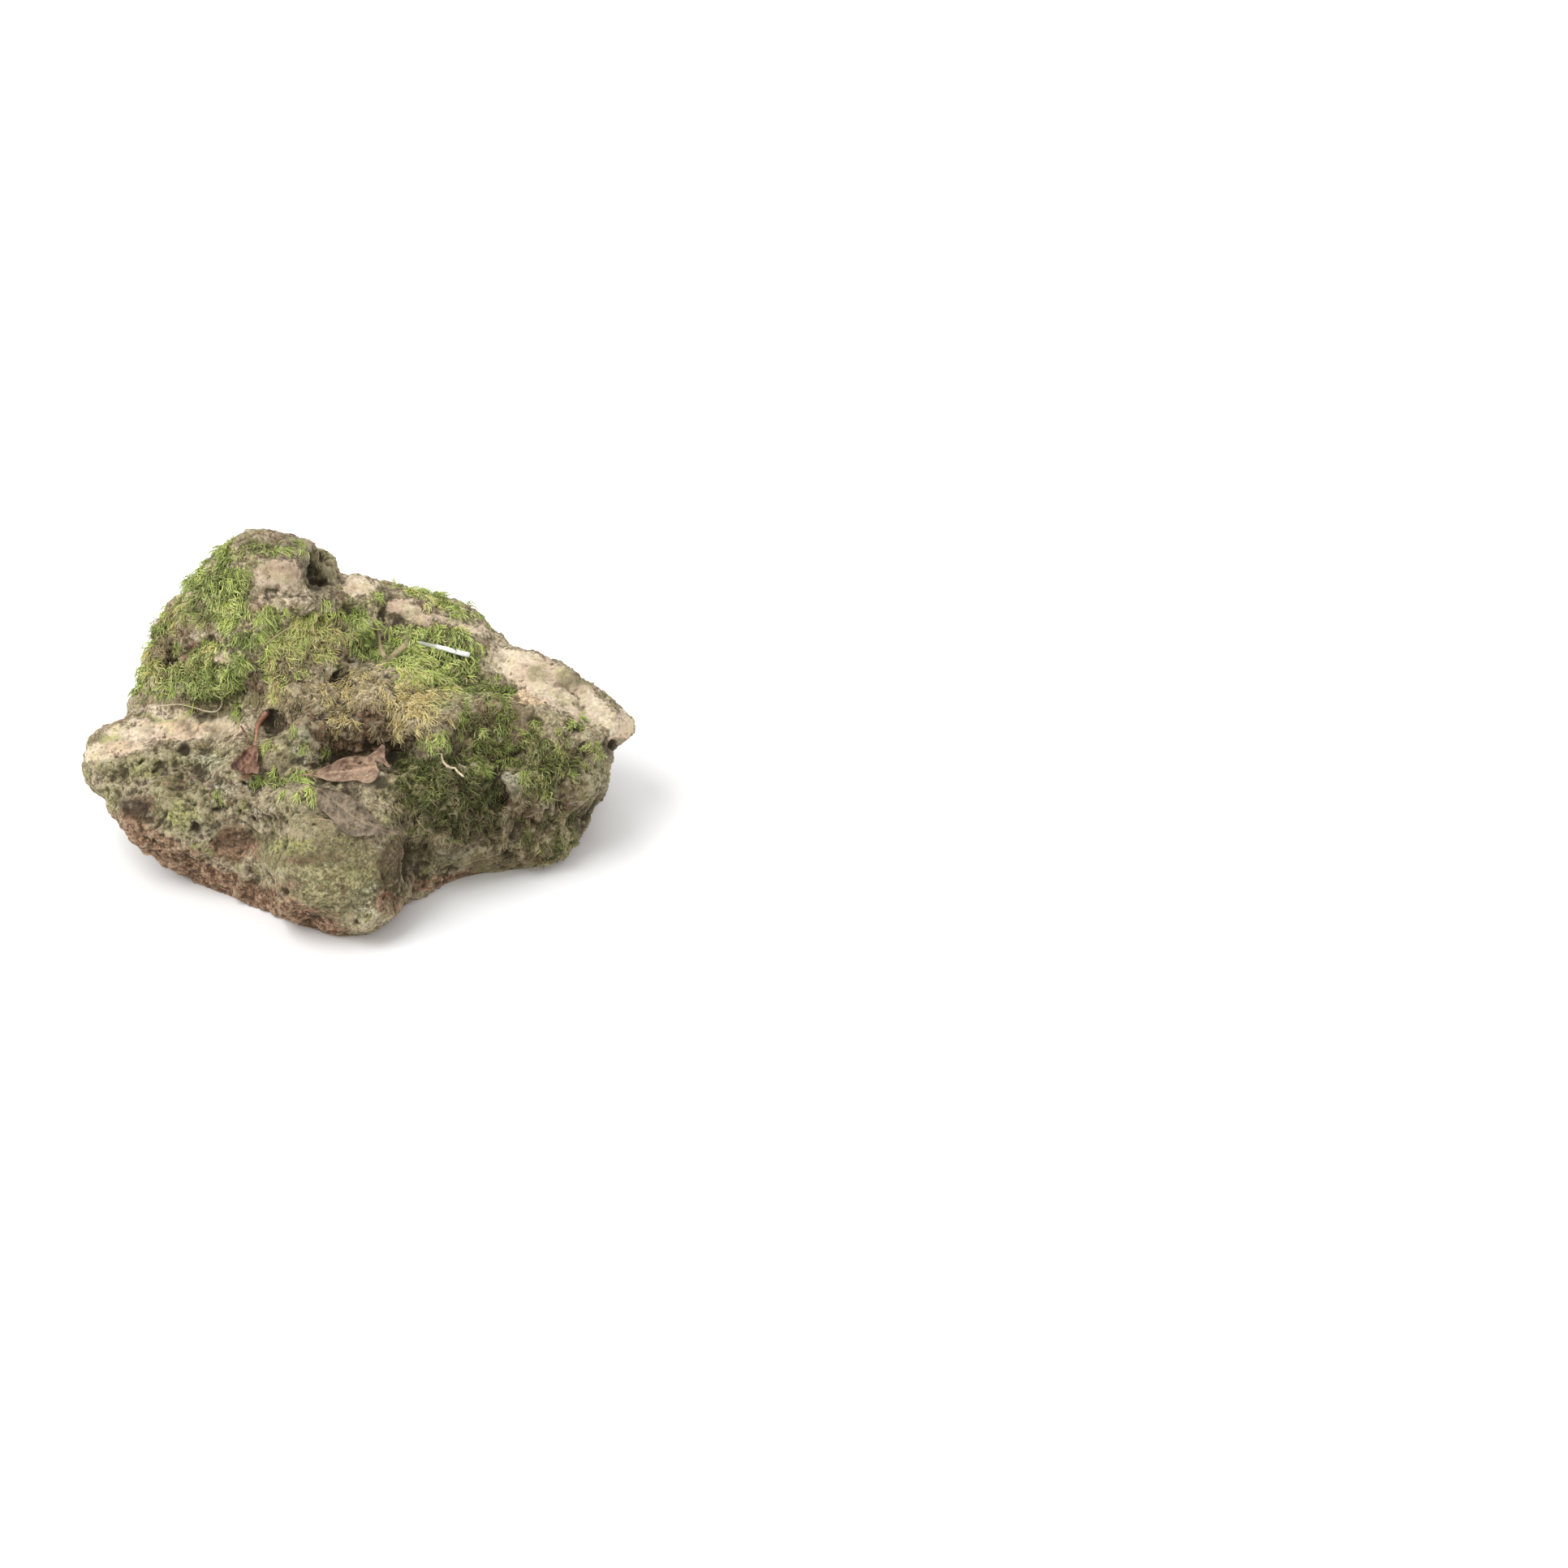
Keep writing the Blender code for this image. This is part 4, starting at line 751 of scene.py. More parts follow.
def moss_seats(stone, pads, chance):
    """Places where sprays stand: foot, mat, kind, the height of the mat there and how dim it is."""
    stone.calc_loop_triangles()
    corners = np.empty(len(stone.loop_triangles) * 3, np.int32)
    stone.loop_triangles.foreach_get("vertices", corners)
    points = points_of(stone)[corners.reshape(-1, 3)]
    middles = points.mean(axis=1)
    cross = np.cross(points[:, 1] - points[:, 0], points[:, 2] - points[:, 0])
    area = np.linalg.norm(cross, axis=1)
    normals = cross / np.maximum(area, 1e-12)[:, None]
    grown = spread_over(middles, normals, GROWTH)
    stains = spread_over(middles, normals, STAINS)
    chunky = smooth_step(noise_at(middles, 8, 3, 71.0), -0.3, 0.15) * (1 - 0.9 * stains["bare"])
    chunky *= 1 - np.clip(grown.pop("none"), 0, 1)
    weights = {kind: values * chunky for kind, values in grown.items()}
    # how much painted shade darkens the moss here, in hollows and on the side away from the light
    dim = stains["dim"] * (1 - 0.8 * smooth_step(noise_at(middles, 8, 2, 88.0), 0.15, 0.4))

    trees = {name: tree_of([pad]) for name, pad in pads.items()}
    owners = [name for name, pad in pads.items() for _ in pad.polygons]
    joint_tree = tree_of(pads.values())
    found = [joint_tree.find_nearest(Vector(p)) for p in middles]
    off = np.array([f[3] for f in found])
    owner = [owners[f[2]] for f in found]
    beneath = 1 - smooth_step(off, 1.0 * MM, 3.5 * MM)
    for index in np.nonzero(beneath > 0.05)[0]:
        kind = MATS[owner[index]]
        share = LEAST_FLAT_GROWTH if owner[index] in LOW_MATS else LEAST_GROWTH
        least = share * beneath[index] * chunky[index]
        weights[kind][index] = max(weights[kind][index], least)
    reach = 1 - smooth_step(off, 0.5 * MAT_EDGE, MAT_EDGE)
    kinds = list(weights)
    table = np.array([weights[kind] for kind in kinds]) * reach * area
    total = table.sum(axis=0)
    total[normals[:, 2] < -0.6] = 0
    total[middles[:, 2] < LOWEST_SPRAY] = 0
    chosen = chance.choices(range(len(total)), weights=list(total / total.sum()), k=SPRAYS)
    seats = []
    for index in chosen:
        kind = chance.choices(kinds, weights=list(table[:, index] + 1e-15))[0]
        u, v = chance.random(), chance.random()
        if u + v > 1:
            u, v = 1 - u, 1 - v
        a, b, c = points[index]
        foot = Vector(a + u * (b - a) + v * (c - a))
        normal = Vector(normals[index])
        hit = trees[owner[index]].ray_cast(foot + normal * MAT_PROBE * MM, -normal, MAT_PROBE * MM)
        height = MAT_PROBE * MM - hit[3] if hit[0] is not None else 1.4 * MM
        height *= LOW_MATS.get(owner[index], 1.0)
        seats.append((foot, owner[index], kind, height, float(dim[index])))
    return seats


def strand_line(start, heading_at, reach, mound, height, stone_tree):
    """The way of a strand, up over the mound and down to the stone, and the stone's normals beneath it."""
    line, overs = [], []
    for k in range(STRAND_STEPS + 1):
        share = k / STRAND_STEPS
        rise = mound * math.sin(min(share * 2.2, 1.6)) - DROOP * share**3
        normal = overs[-1] if overs else stone_tree.find_nearest(start)[1]
        spot = start + heading_at(share) * reach * share + normal * rise
        spot.z -= DROOP * share * share
        near, near_way, _, _ = stone_tree.find_nearest(spot)
        above = (spot - near).dot(near_way)
        lowest = (-0.6 if k == 0 else 0.4) * MM
        highest = height + DROOP
        if above < lowest:
            spot = spot + near_way * (lowest - above)
        elif above > highest:
            spot = spot - near_way * (above - highest)
        line.append(spot)
        overs.append(near_way)
    return line, overs


def crest_sprigs(mesh_lists, stone_tree):
    """Curled sprigs, each a strand with pairs of leaflets."""
    for places in SPRIGS:
        curve = [(x, y) for x, y in smooth_line(places, 2)]
        line = on_sight_lines(curve, depths_on(stone_tree, curve))
        overs = [-Vector(SIGHT_FORWARD)] * len(line)
        strand(mesh_lists, line, overs, 0.42 * MM, 0.2, (0.4, 0.1, 0.8, 0.0))
        for k in range(1, len(line) - 1):
            for way in (-1, 1):
                step = line[k + 1] - line[k]
                side = step.cross(overs[k]).normalized() * way * 1.1 * MM
                leaflet = [line[k], line[k] + 0.6 * step + side, line[k] + 1.5 * step + 1.7 * side]
                strand(mesh_lists, leaflet, overs, 0.3 * MM, 0.3, (0.6, 0.1, 0.9, 0.0))


def moss_shoots(stone, pads):
    """A mesh of strands for each mat: sprays that are combed down the slope, lie on the stone and droop."""
    chance = random.Random(7)
    stone_tree = tree_of([stone])
    growing = {name: ([], [], []) for name in pads}
    down = Vector((0, 0, -1))
    for foot, owner, kind, height, dim in moss_seats(stone, pads, chance):
        gold, life, pale, length, radius, count = KINDS[kind]
        _, normal, _, _ = stone_tree.find_nearest(foot)
        hang = down - normal * down.dot(normal)
        downhill = hang.normalized() if hang.length > 1e-3 else Vector((1, 0, 0))
        sideways = normal.cross(downhill).normalized()
        swing = 1.5 * noise.noise(foot / (24 * MM)) + chance.gauss(0, 0.3)
        if hang.length < 0.25:
            swing = 3.0 * noise.noise(foot / (30 * MM)) + chance.gauss(0, 0.6)
        curl = chance.gauss(0, 0.5)
        spray_own = chance.random()
        for number in range(count):
            turn = swing + (number / (count - 1) - 0.5) * 0.95 + chance.gauss(0, 0.12)
            bend = curl + chance.gauss(0, 0.25)

            def heading_at(share, turn=turn, bend=bend):
                way = turn + bend * share
                return math.cos(way) * downhill + math.sin(way) * sideways

            reach = length * MM * chance.uniform(0.45, 1.15) * (1 - 0.35 * dim)
            mound = height * chance.uniform(0.3, 1.0) + 0.3 * MM
            start = foot + Vector([chance.gauss(0, FOOT_SPREAD) * MM for _ in range(3)])
            line, overs = strand_line(start, heading_at, reach, mound, height, stone_tree)
            depth = mound / (height + 0.3 * MM)
            faded = 0.45 if chance.random() < 0.13 else 0.0
            shades = (
                min(1.0, 0.5 * spray_own + 0.5 * chance.random() + pale),
                min(1.0, max(0.0, gold + faded + chance.gauss(0, 0.12))),
                min(1.0, max(0.0, life * (0.5 + 0.55 * depth) - 0.5 * faded + chance.gauss(0, 0.12))),
                dim,
            )
            thick = radius * chance.uniform(0.75, 1.25) * MM
            strand(growing[owner], line, overs, thick, 0.05, shades)
            if chance.random() < FORKED:
                strand(growing[owner], fork(line, overs, chance), overs, 0.8 * thick, 0.3, shades)
    crest_sprigs(growing["moss_crest"], stone_tree)
    meshes = {}
    for name, (verts, faces, values) in growing.items():
        mesh = new_mesh(name + "_shoots", verts, faces)
        for label, column in zip(("tone", "own", "gold", "life", "dim"), zip(*values)):
            set_shade(mesh, label, column)
        mesh.shade_smooth()
        meshes[name] = mesh
    return meshes


# Leaves and stems


def smooth_line(places, steps):
    """A smooth curve through places, with the given steps from each place to the next."""
    spots = [np.array(place) for place in places]
    ends = [2 * spots[0] - spots[1], *spots, 2 * spots[-1] - spots[-2]]
    line = []
    for a, b, c, d in zip(ends, ends[1:], ends[2:], ends[3:]):
        for k in range(steps):
            t = k / steps
            square, cube = 2 * a - 5 * b + 4 * c - d, 3 * b - a - 3 * c + d
            line.append(0.5 * (2 * b + (c - a) * t + square * t**2 + cube * t**3))
    return line + [np.array(places[-1], float)]


def depths_on(tree, spots):
    """How far along the sight lines a surface lies, filled in from the nearest spot that meets it."""
    found = [tree.ray_cast(EYE, sheet_ray(x, y)) for x, y in spots]
    away = [(hit[0] - EYE).dot(Vector(SIGHT_FORWARD)) if hit[0] else None for hit in found]
    known = [(spot, depth) for spot, depth in zip(spots, away) if depth is not None]
    if not known:
        return None
    places = np.array([spot for spot, _ in known])
    filled = []
    for spot, depth in zip(spots, away):
        if depth is None:
            depth = known[int(np.argmin(np.hypot(*(places - np.array(spot)).T)))][1]
        filled.append(depth)
    return np.array(filled)


def leaf_rings(outline, holes):
    """The leaf's ragged rim and the ring of each hole, on the sheet."""
    rim = []
    for x, y in smooth_line([*outline, outline[0]], 6)[:-1]:
        ragged = 0.35 * noise.noise(Vector((x * 0.9, y * 0.9, 3.0)))
        rim.append((x + ragged, y + 0.6 * ragged))
    rings = [rim]
    for x, y, wide, high, turn in holes:
        cosine, sine = math.cos(math.radians(turn)), math.sin(math.radians(turn))
        rings.append([])
        for k in range(HOLE_SIDES):
            angle = 2 * math.pi * k / HOLE_SIDES
            far = 1 + 0.25 * math.sin(3 * angle + x)
            across, over = wide * far * math.cos(angle), high * far * math.sin(angle)
            rings[-1].append((x + across * cosine - over * sine, y + across * sine + over * cosine))
    return rings


def leaf_net(rings, chance):
    """Spots and faces of a flat net over the leaf, with its holes left open."""
    verts, edges = [], []
    for ring in rings:
        edges += [(len(verts) + k, len(verts) + (k + 1) % len(ring)) for k in range(len(ring))]
        verts += ring
    rim = rings[0]
    low, high = np.min(rim, axis=0), np.max(rim, axis=0)
    for x in np.arange(low[0], high[0], LEAF_GRID):
        for y in np.arange(low[1], high[1], LEAF_GRID):
            spot = (x + chance.uniform(-0.2, 0.2), y + chance.uniform(-0.2, 0.2))
            if inside(spot, rim) and min(math.dist(spot, p) for p in rim) > 0.5:
                verts.append(spot)
    flat, _, faces, _, _, _ = delaunay_2d_cdt([Vector(v) for v in verts], edges, [], 1, 1e-4)
    kept = []
    for face in faces:
        middle = sum((flat[k] for k in face), Vector((0, 0))) / len(face)
        if inside(middle, rim) and not any(inside(middle, ring) for ring in rings[1:]):
            kept.append(face)
    return [(v.x, v.y) for v in flat], kept


def leaf_piece(name, node, stone_tree, outline, holes, midrib, curl, crumple):
    """A dry leaf: a thin sheet with a ragged rim, holes, veins and folds, let down on the stone."""
    rings = leaf_rings(outline, holes)
    spots, faces = leaf_net(rings, random.Random(name))
    own = depths_on(tree_of([node.data]), spots)
    ground = depths_on(stone_tree, spots)
    away = np.clip(ground - 0.2 * MM, own - 2.5 * MM, own + LEAF_SINK)
    links = {}
    for face in faces:
        for k, vertex in enumerate(face):
            links.setdefault(vertex, set()).update((face[k - 1], face[(k + 1) % len(face)]))
    for _ in range(14):
        around = [np.mean([away[j] for j in links[k]]) if k in links else away[k] for k in range(len(away))]
        away = np.array(around)
    away = np.minimum(away, ground - 0.3 * MM)
    spine = np.array(smooth_line(midrib, 30))
    heading = spine[-1] - spine[0]
    heading = heading / np.linalg.norm(heading)
    veins = []
    for index, spot in enumerate(spots):
        side = float(np.min(np.hypot(*(spine - np.array(spot)).T)))
        along = float(np.dot(spot, heading))
        slant = along - 0.75 * side
        vein = max(0, 1 - side / 1.0) + 0.45 * max(0, 1 - abs(math.sin(slant * 0.85)) / 0.28)
        edge = min(math.dist(spot, p) for p in rings[0])
        fold = noise.fractal(Vector((spot[0] / 7, spot[1] / 7, len(name))), 0.8, 2.1, 3)
        ripple = 0.35 * math.sin(1.9 * side + 0.15 * along)
        rim_curl = curl * (1 - min(edge / 4.0, 1)) ** 2
        out = crumple * fold + rim_curl + 0.5 * min(vein, 1) + 1.5 * min(side / 7, 1)
        away[index] -= (out + ripple) * MM
        veins.append(min(vein, 1.0))
    points = on_sight_lines(spots, away)
    mesh = new_mesh(name + "_blade", points, faces)
    set_shade(mesh, "vein", veins)
    with edited(mesh) as shape:
        bmesh.ops.delete(shape, geom=[v for v in shape.verts if not v.link_faces], context="VERTS")
        bmesh.ops.recalc_face_normals(shape, faces=shape.faces)
        middle = sum((face.normal for face in shape.faces), Vector())
        if middle.dot(Vector(SIGHT_FORWARD)) > 0:
            bmesh.ops.reverse_faces(shape, faces=shape.faces)
    thing = added(name, mesh)
    solid = thing.modifiers.new("thickness", "SOLIDIFY")
    solid.thickness = LEAF_THICKNESS
    solid.offset = -1
    done = settled(thing)
    done.shade_smooth()
    return done


def inside(spot, ring):
    """Whether a spot lies inside a closed ring of places."""
    x, y = spot
    crossings = 0
    for (ax, ay), (bx, by) in zip(ring, ring[1:] + ring[:1]):
        if (ay > y) != (by > y) and x < ax + (y - ay) * (bx - ax) / (by - ay):
            crossings += 1
    return crossings % 2 == 1


def stem_piece(name, node, ground_tree, places, radii, flat, knots):
    """A stem or twig along its solid, let down on what carries it: a tapering tube with closed ends."""
    spots = [(x, y) for x, y in smooth_line(places, 8)]
    sizes = [r[0] for r in smooth_line([(r, 0) for r in radii], 8)]
    away = depths_on(tree_of([node.data]), spots)
    beside = ((0, 0), (1, 0), (-1, 0), (0, 1), (0, -1))
    ground = np.min([depths_on(ground_tree, [(x + a, y + b) for x, y in spots]) for a, b in beside], axis=0)
    sink = ground - away - (1 + flat) * np.array(sizes) * MM + 0.5 * MM
    sink = np.clip(sink, -1.0 * MM, STEM_SINK)
    for _ in range(12):
        padded = np.concatenate([sink[:1], sink, sink[-1:]])
        sink = (padded[:-2] + padded[1:-1] + padded[2:]) / 3
    away = away + sink
    centres = on_sight_lines(spots, away + np.array(sizes) * MM)
    verts, faces = [], []
    last = len(centres) - 1
    toward = -Vector(SIGHT_FORWARD)
    for k, (centre, size) in enumerate(zip(centres, sizes)):
        ahead = (centres[min(k + 1, last)] - centres[max(k - 1, 0)]).normalized()
        side = ahead.cross(toward).normalized()
        over = side.cross(ahead)
        for j in range(STEM_SIDES):
            cosine, sine = math.cos(2 * math.pi * j / STEM_SIDES), math.sin(2 * math.pi * j / STEM_SIDES)
            rough = 1 + knots * noise.noise(Vector((k * 0.45, cosine * 1.3, sine * 1.3)))
            verts.append(centre + (cosine * side + flat * sine * over) * size * rough * MM)
            if k < last:
                near, following = k * STEM_SIDES + j, k * STEM_SIDES + (j + 1) % STEM_SIDES
                faces.append((near, following, following + STEM_SIDES, near + STEM_SIDES))
    faces.append(tuple(range(STEM_SIDES - 1, -1, -1)))
    faces.append(tuple(range(len(verts) - STEM_SIDES, len(verts))))
    mesh = new_mesh(name + "_stem", verts, faces)
    with edited(mesh) as shape:
        bmesh.ops.recalc_face_normals(shape, faces=shape.faces)
    set_shade(mesh, "vein", [index // STEM_SIDES / last for index in range(len(verts))])
    mesh.shade_smooth()
    mesh.set_sharp_from_angle(angle=math.radians(50))
    return mesh


# Materials


class Nodes:
    """The nodes of a material or group. An input takes a value, a colour or another node's output."""

    def __init__(self, tree):
        self.tree = tree

    def feed(self, node, inputs):
        for key, value in inputs.items():
            socket = node.inputs[key]
            if isinstance(value, bpy.types.NodeSocket):
                self.tree.links.new(value, socket)
            elif socket.type == "RGBA":
                socket.default_value = (*value, 1)
            else:
                socket.default_value = value

    def add(self, kind, inputs, **settings):
        node = self.tree.nodes.new(kind)
        for key, value in settings.items():
            setattr(node, key, value)
        self.feed(node, inputs)
        return node.outputs

    def mix(self, share, first, second, blend="MIX"):
        inputs = {0: share, 6: first, 7: second}
        return self.add("ShaderNodeMix", inputs, data_type="RGBA", blend_type=blend)[2]

    def math(self, operation, *values, clamp=False):
        return self.add("ShaderNodeMath", dict(enumerate(values)), operation=operation, use_clamp=clamp)[0]

    def times(self, first, second):
        return self.math("MULTIPLY", first, second)

    def times_plus(self, first, second, more, clamp=False):
        return self.math("MULTIPLY_ADD", first, second, more, clamp=clamp)

    def less(self, first, second):
        return self.math("SUBTRACT", first, second)

    def ramp(self, value, low, high):
        """From 0 at low to 1 at high."""
        inputs = {"Value": value, "From Min": low, "From Max": high}
        return self.add("ShaderNodeMapRange", inputs, interpolation_type="SMOOTHSTEP")[0]

    def shade(self, name):
        """A value that the mesh stores at its points."""
        return self.add("ShaderNodeAttribute", {}, attribute_name=name)["Fac"]

    def mottled(self, group, size, grain, shift=0.0):
        """Patches and grain from the mottle group."""
        return self.add("ShaderNodeGroup", {"Size": size, "Grain": grain, "Shift": shift}, node_tree=group)

    def bump(self, height, strength, distance):
        return self.add("ShaderNodeBump", {"Height": height, "Strength": strength, "Distance": distance})[0]


def new_material(name):
    material = bpy.data.materials.new(name)
    material.use_nodes = True
    return material, Nodes(material.node_tree), material.node_tree.nodes["Principled BSDF"]


def mottle_group():
    """A group that gives soft mottling in two sizes, as masks."""
    group = bpy.data.node_groups.new("mottle", "ShaderNodeTree")
    for name, value in (("Size", 60.0), ("Grain", 400.0), ("Shift", 0.0)):
        socket = group.interface.new_socket(name, in_out="INPUT", socket_type="NodeSocketFloat")
        socket.default_value = value
    for name in ("Patches", "Grain"):
        group.interface.new_socket(name, in_out="OUTPUT", socket_type="NodeSocketFloat")
    nodes = Nodes(group)
    size, grain, shift = nodes.add("NodeGroupInput", {})[:3]
    place = nodes.add("ShaderNodeTexCoord", {})["Object"]
    moved = nodes.add("ShaderNodeVectorMath", {0: place, 1: shift}, operation="ADD")[0]
    broad = {"Vector": moved, "Scale": size, "Detail": 6.0, "Roughness": 0.62, "Distortion": 0.3}
    fine = {"Vector": moved, "Scale": grain, "Detail": 4.0, "Roughness": 0.7}
    masks = [nodes.add("ShaderNodeTexNoise", inputs)[0] for inputs in (broad, fine)]
    nodes.feed(group.nodes.new("NodeGroupOutput"), dict(enumerate(masks)))
    return group


def stone_material(mottle):
    material, nodes, shader = new_material("limestone")
    mix, ramp, times, times_plus = nodes.mix, nodes.ramp, nodes.times, nodes.times_plus
    patches, lumps = nodes.mottled(mottle, 38.0, 230.0)[:2]
    speckle, sand = nodes.mottled(mottle, 480.0, 1100.0)[:2]
    tints = nodes.mottled(mottle, 85.0, 330.0, 3.7)
    rusts = nodes.mottled(mottle, 60.0, 150.0, 9.1)
    place = nodes.add("ShaderNodeTexCoord", {})["Object"]
    cells = nodes.add("ShaderNodeTexVoronoi", {"Vector": place, "Scale": 260.0})
    dots = times(nodes.less(1.0, ramp(cells["Distance"], 0.1, 0.34)), ramp(cells["Color"], 0.70, 0.74))
    drawn = nodes.add("ShaderNodeMapping", {"Vector": place, "Scale": (0.16, 1.0, 1.0)})[0]
    streaks = {"Vector": drawn, "Scale": 260.0, "Detail": 5.0, "Roughness": 0.65}
    lines = nodes.add("ShaderNodeTexNoise", streaks)[0]
    uneven = nodes.less(lumps, 0.5), nodes.less(speckle, 0.5)

    def spread(name, low=0.3, high=0.7):
        """Where a painted patch lies, with a broken, grainy edge."""
        edge = times_plus(uneven[1], 1.2, times_plus(uneven[0], 1.3, nodes.shade(name)))
        return ramp(edge, low, high)

    def tinted(onto, share, mask, low, high, colour):
        """A colour laid over another where a mask is strong."""
        return mix(times(ramp(mask, low, high), share), onto, colour)

    def patch(onto, share, name, colour, low=0.3, high=0.7):
        """A colour laid over another where a patch is painted."""
        return mix(times(spread(name, low, high), share), onto, colour)

    # dull stone, and pale stone where it is bare
    body = mix(ramp(patches, 0.38, 0.62), (0.165, 0.125, 0.08), (0.33, 0.27, 0.165))
    body = mix(ramp(lumps, 0.44, 0.6), body, (0.44, 0.37, 0.24))
    body = tinted(body, 0.8, tints[0], 0.52, 0.6, (0.235, 0.225, 0.09))
    body = tinted(body, 0.55, tints[1], 0.56, 0.64, (0.50, 0.48, 0.34))
    body = tinted(body, 0.7, rusts[0], 0.55, 0.65, (0.22, 0.125, 0.08))
    pale = mix(ramp(patches, 0.4, 0.6), (0.58, 0.44, 0.32), (0.74, 0.62, 0.46))
    pale = tinted(pale, 0.6, tints[0], 0.5, 0.62, (0.58, 0.51, 0.28))
    pale = tinted(pale, 0.7, lines, 0.5, 0.68, (0.43, 0.36, 0.25))
    pale = tinted(pale, 0.5, lines, 0.46, 0.3, (0.80, 0.70, 0.52))
    bare = spread("bare")
    body = patch(mix(bare, body, pale), 0.75, "orange", (0.71, 0.52, 0.33))
    # algae, lichen, soil, and dead and green thatch under the moss
    green = mix(ramp(lumps, 0.4, 0.6), (0.13, 0.125, 0.055), (0.29, 0.26, 0.13))
    green = tinted(green, 0.5, tints[1], 0.5, 0.62, (0.43, 0.39, 0.19))
    green = tinted(green, 0.8, rusts[1], 0.52, 0.62, (0.17, 0.125, 0.07))
    body = patch(body, 0.75, "algae", green)
    body = patch(body, 0.6, "lime", (0.38, 0.38, 0.14))
    grey = mix(ramp(speckle, 0.4, 0.6), (0.18, 0.19, 0.135), (0.48, 0.47, 0.36))
    body = patch(body, 0.65, "lichen", grey)
    earth = mix(ramp(lumps, 0.42, 0.62), (0.12, 0.055, 0.033), (0.38, 0.225, 0.14))
    earth = tinted(earth, 0.5, tints[1], 0.56, 0.66, (0.58, 0.42, 0.28))
    body = patch(body, 0.85, "soil", earth)
    thatch = mix(ramp(speckle, 0.38, 0.62), (0.17, 0.13, 0.07), (0.60, 0.49, 0.29))
    turf = mix(ramp(speckle, 0.38, 0.62), (0.11, 0.12, 0.04), (0.44, 0.45, 0.18))
    body = patch(body, 0.85, "under_moss", mix(spread("lush", 0.35, 0.75), thatch, turf))
    # grit, dark dots, and painted shade in dim places and dark holes
    grit = times_plus(ramp(speckle, 0.38, 0.62), 0.95, 0.42)
    grit = times_plus(ramp(sand, 0.4, 0.6), 0.45, grit)
    gritty = nodes.add("ShaderNodeCombineColor", {0: grit, 1: grit, 2: grit})[0]
    body = mix(times_plus(bare, -0.6, 0.9), body, gritty, "MULTIPLY")
    body = mix(times(dots, 0.5), body, (0.06, 0.05, 0.035))
    # painted shade: dim places are multiplied darker
    body = mix(times(spread("dim", 0.2, 1.0), 0.9), body, (0.40, 0.34, 0.29), "MULTIPLY")
    # painted shade: near black where the dark patches and holes are painted
    body = patch(body, 0.85, "dark", (0.04, 0.034, 0.022), 0.2, 0.9)
    # dirt and painted shade low down in the relief, and worn high places
    low = nodes.less(1.0, ramp(nodes.shade("high"), 0.16, 0.54))
    body = mix(times(low, times_plus(bare, -0.4, 0.75)), body, (0.055, 0.043, 0.025))
    body = tinted(body, 0.65, nodes.shade("deep"), 0.5, 0.95, (0.055, 0.042, 0.025))
    worn = times(ramp(nodes.shade("high"), 0.6, 0.95), times_plus(bare, -0.25, 0.35))
    body = mix(worn, body, (0.62, 0.54, 0.37))
    height = times_plus(lumps, 1.0, times_plus(dots, -0.5, times_plus(sand, 0.5, speckle)))
    bump = nodes.bump(times(height, times_plus(bare, -0.5, 1.0)), 0.9, 0.0016)
    nodes.feed(shader, {"Base Color": body, "Roughness": 0.92, "Specular IOR Level": 0.2, "Normal": bump})
    return material


def moss_material(name, mottle, warmth):
    """Moss by the shades of its strands: pale or deep, gold or green, fresh or dead, and darkened by painted
    shade where dim.
    """
    material, nodes, shader = new_material(name)
    mix, ramp, times_plus, shade = nodes.mix, nodes.ramp, nodes.times_plus, nodes.shade
    clump = times_plus(nodes.mottled(mottle, 90.0, 500.0)[0], 1.6, -0.55)
    own = times_plus(shade("own"), 0.6, clump, clamp=True)
    tone, gold = shade("tone"), shade("gold")
    deep = mix(own, (0.10, 0.19, 0.035), (0.68, 0.77, 0.20))
    tip = mix(own, (0.54, 0.74, 0.19), (1.0, 1.0, 0.56))
    green = mix(ramp(tone, 0.25, 1.0), deep, tip)
    straw = mix(ramp(tone, 0.2, 1.0), (0.78, 0.62, 0.27), (1.0, 0.93, 0.58))
    dull = mix(own, (0.07, 0.09, 0.025), (0.26, 0.27, 0.10))
    brown = mix(own, (0.17, 0.13, 0.07), (0.66, 0.54, 0.33))
    fresh = mix(ramp(gold, 0.2, 0.9 - warmth), green, straw)
    stale = mix(ramp(gold, 0.2, 0.8), dull, brown)
    life = times_plus(tone, 0.35, shade("life"))
    colour = mix(ramp(life, 0.3, 1.0), stale, fresh)
    # painted shade: dim places are multiplied darker
    colour = mix(shade("dim"), colour, (0.36, 0.33, 0.28), "MULTIPLY")
    nodes.feed(shader, {"Base Color": colour, "Roughness": 0.75, "Specular IOR Level": 0.3})
    return material


def plant_material(name, mottle, dark, pale, roughness, spots, mould=0.0, gloss=0.0, worn=0.0):
    """Dry leaf, stem or twig: spotted, mouldy, glossy or worn dull at one end."""
    material, nodes, shader = new_material(name)
    mix, ramp, times = nodes.mix, nodes.ramp, nodes.times
    patches, grain = nodes.mottled(mottle, 150.0, 800.0)[:2]
    specks, motes = nodes.mottled(mottle, 320.0, 1300.0, 5.3)[:2]
    vein = nodes.shade("vein")
    colour = mix(ramp(patches, 0.4, 0.6), dark, pale)
    colour = mix(times(ramp(specks, 0.56, 0.64), spots), colour, tuple(0.35 * c for c in dark))
    colour = mix(times(ramp(motes, 0.5, 0.64), mould), colour, (0.26, 0.26, 0.2))
    colour = mix(times(vein, 0.75), colour, tuple(min(1.0, 1.5 * c) for c in pale))
    colour = mix(times(ramp(vein, 0.42, 0.28), worn), colour, (0.40, 0.39, 0.30))
    bump = nodes.bump(nodes.times_plus(vein, 0.6, grain), 0.5, 0.0004)
    coat = {"Coat Weight": gloss, "Coat Roughness": 0.2}
    nodes.feed(shader, {"Base Color": colour, "Roughness": roughness, "Normal": bump, **coat})
    return material


# Setting


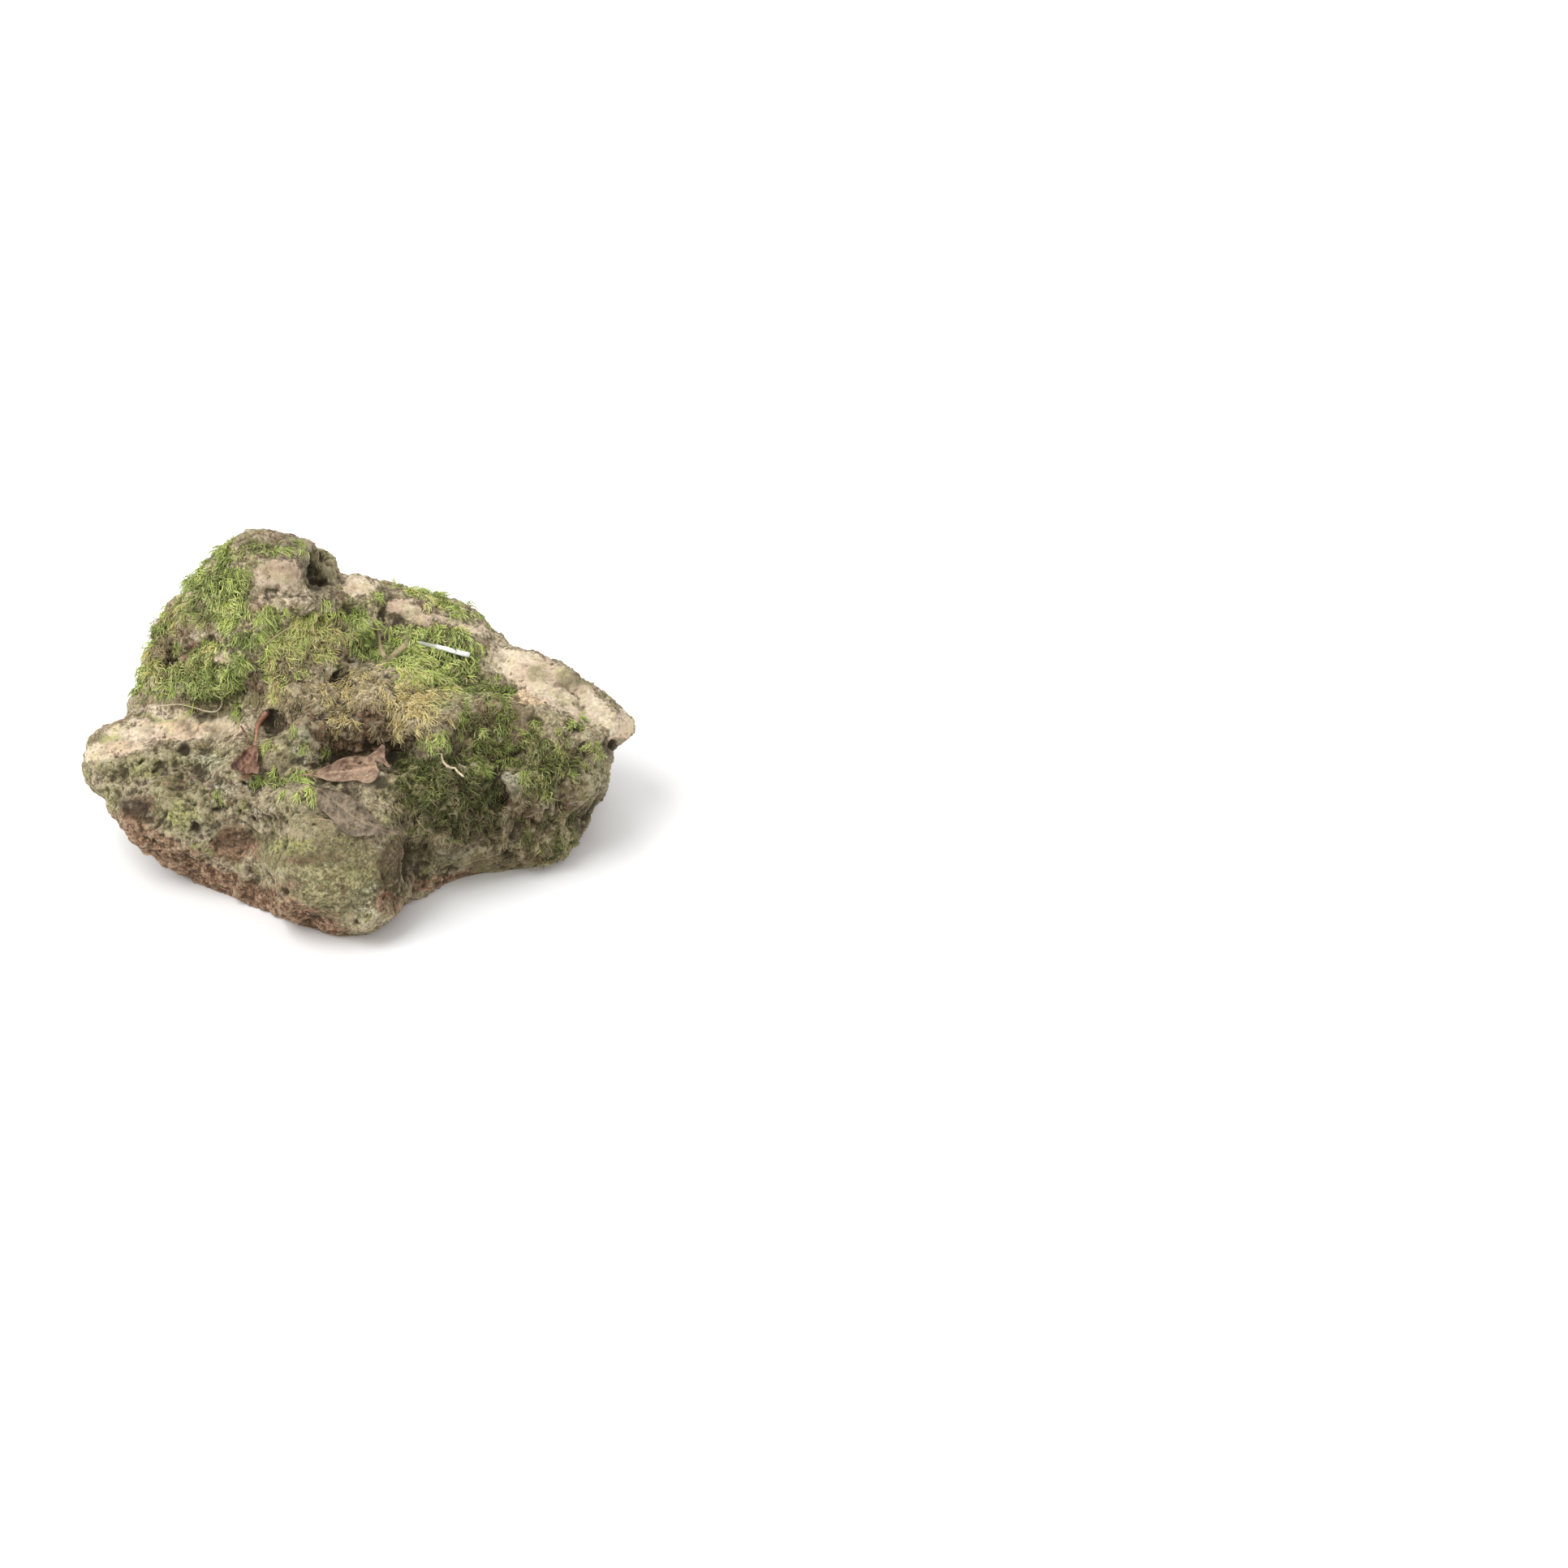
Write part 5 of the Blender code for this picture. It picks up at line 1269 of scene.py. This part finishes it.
def look_from_photograph():
    camera = added("camera", bpy.data.cameras.new("camera"))
    turn = Matrix((SIGHT_RIGHT, SIGHT_UPWARD, -SIGHT_FORWARD)).transposed().to_4x4()
    camera.matrix_world = Matrix.Translation(EYE) @ turn
    camera.data.sensor_width = SENSOR
    camera.data.lens = SENSOR * FOCUS_PIXELS / PICTURE_PIXELS
    camera.data.clip_end = 50
    bpy.context.scene.camera = camera


def soft_lamp(name, place, power, size):
    """A wide lamp that shines on the stone."""
    lamp = bpy.data.lights.new(name, "AREA")
    lamp.energy = power
    lamp.size = size
    thing = added(name, lamp)
    thing.location = place
    thing.rotation_mode = "QUATERNION"
    thing.rotation_quaternion = (LAMP_AIM - Vector(place)).to_track_quat("-Z", "Y")


def studio():
    """A plain pale floor and plain soft light."""
    mesh = bpy.data.meshes.new("floor")
    with edited(mesh) as shape:
        bmesh.ops.create_grid(shape, x_segments=1, y_segments=1, size=12)
    floor = added("floor", mesh)
    floor.location.z = -0.0002
    material, nodes, shader = new_material("pale_floor")
    nodes.feed(shader, {"Base Color": (0.95, 0.95, 0.95), "Roughness": 0.9})
    mesh.materials.append(material)
    for name, place, power, size in LAMPS:
        soft_lamp(name, place, power, size)
    world = bpy.data.worlds.new("studio")
    world.use_nodes = True
    Nodes(world.node_tree).feed(world.node_tree.nodes["Background"], {0: (1, 1, 1), 1: LIGHT_ALL_ROUND})
    bpy.context.scene.world = world
    bpy.context.scene.view_settings.view_transform = "Standard"


def main():
    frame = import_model()
    nodes = frame["nodes"]
    slots = {entry["node"]: entry["material_slot"] for entry in frame["record"]["subparts"]}
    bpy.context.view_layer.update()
    look_from_photograph()
    studio()
    mottle = mottle_group()

    pads = {name: nodes[name].data for name in MATS}
    stone = stone_skin(nodes["rock"])
    hollow = sculpt_stone(stone)
    paint_stone(stone, hollow, tree_of(pads.values()))
    cut_base(stone)
    stone.shade_smooth()
    placed("stone", stone, "rock", stone_material(mottle))

    mosses = {slot: moss_material(slot, mottle, warmth) for slot, warmth in WARMTHS.items()}
    meshes = moss_shoots(stone, pads)
    for name in MATS:
        placed(name + "_shoots", meshes[name], name, mosses[slots[name]])

    plants = {name: plant_material(name, mottle, *looks) for name, looks in PLANTS.items()}
    stone_tree = tree_of([stone])
    for name, leaf in LEAVES.items():
        mesh = leaf_piece(name, nodes[name], stone_tree, **leaf)
        placed(name + "_blade", mesh, name, plants[slots[name]])
        meshes[name] = mesh
    ground_tree = tree_of([stone, *meshes.values()])
    for name, (places, radii, flat, knots) in STEMS.items():
        mesh = stem_piece(name, nodes[name], ground_tree, places, radii, flat, knots)
        material = plants["red_stalk" if name == "leaf_stalk" else slots[name]]
        placed(name + "_stem", mesh, name, material)


main()
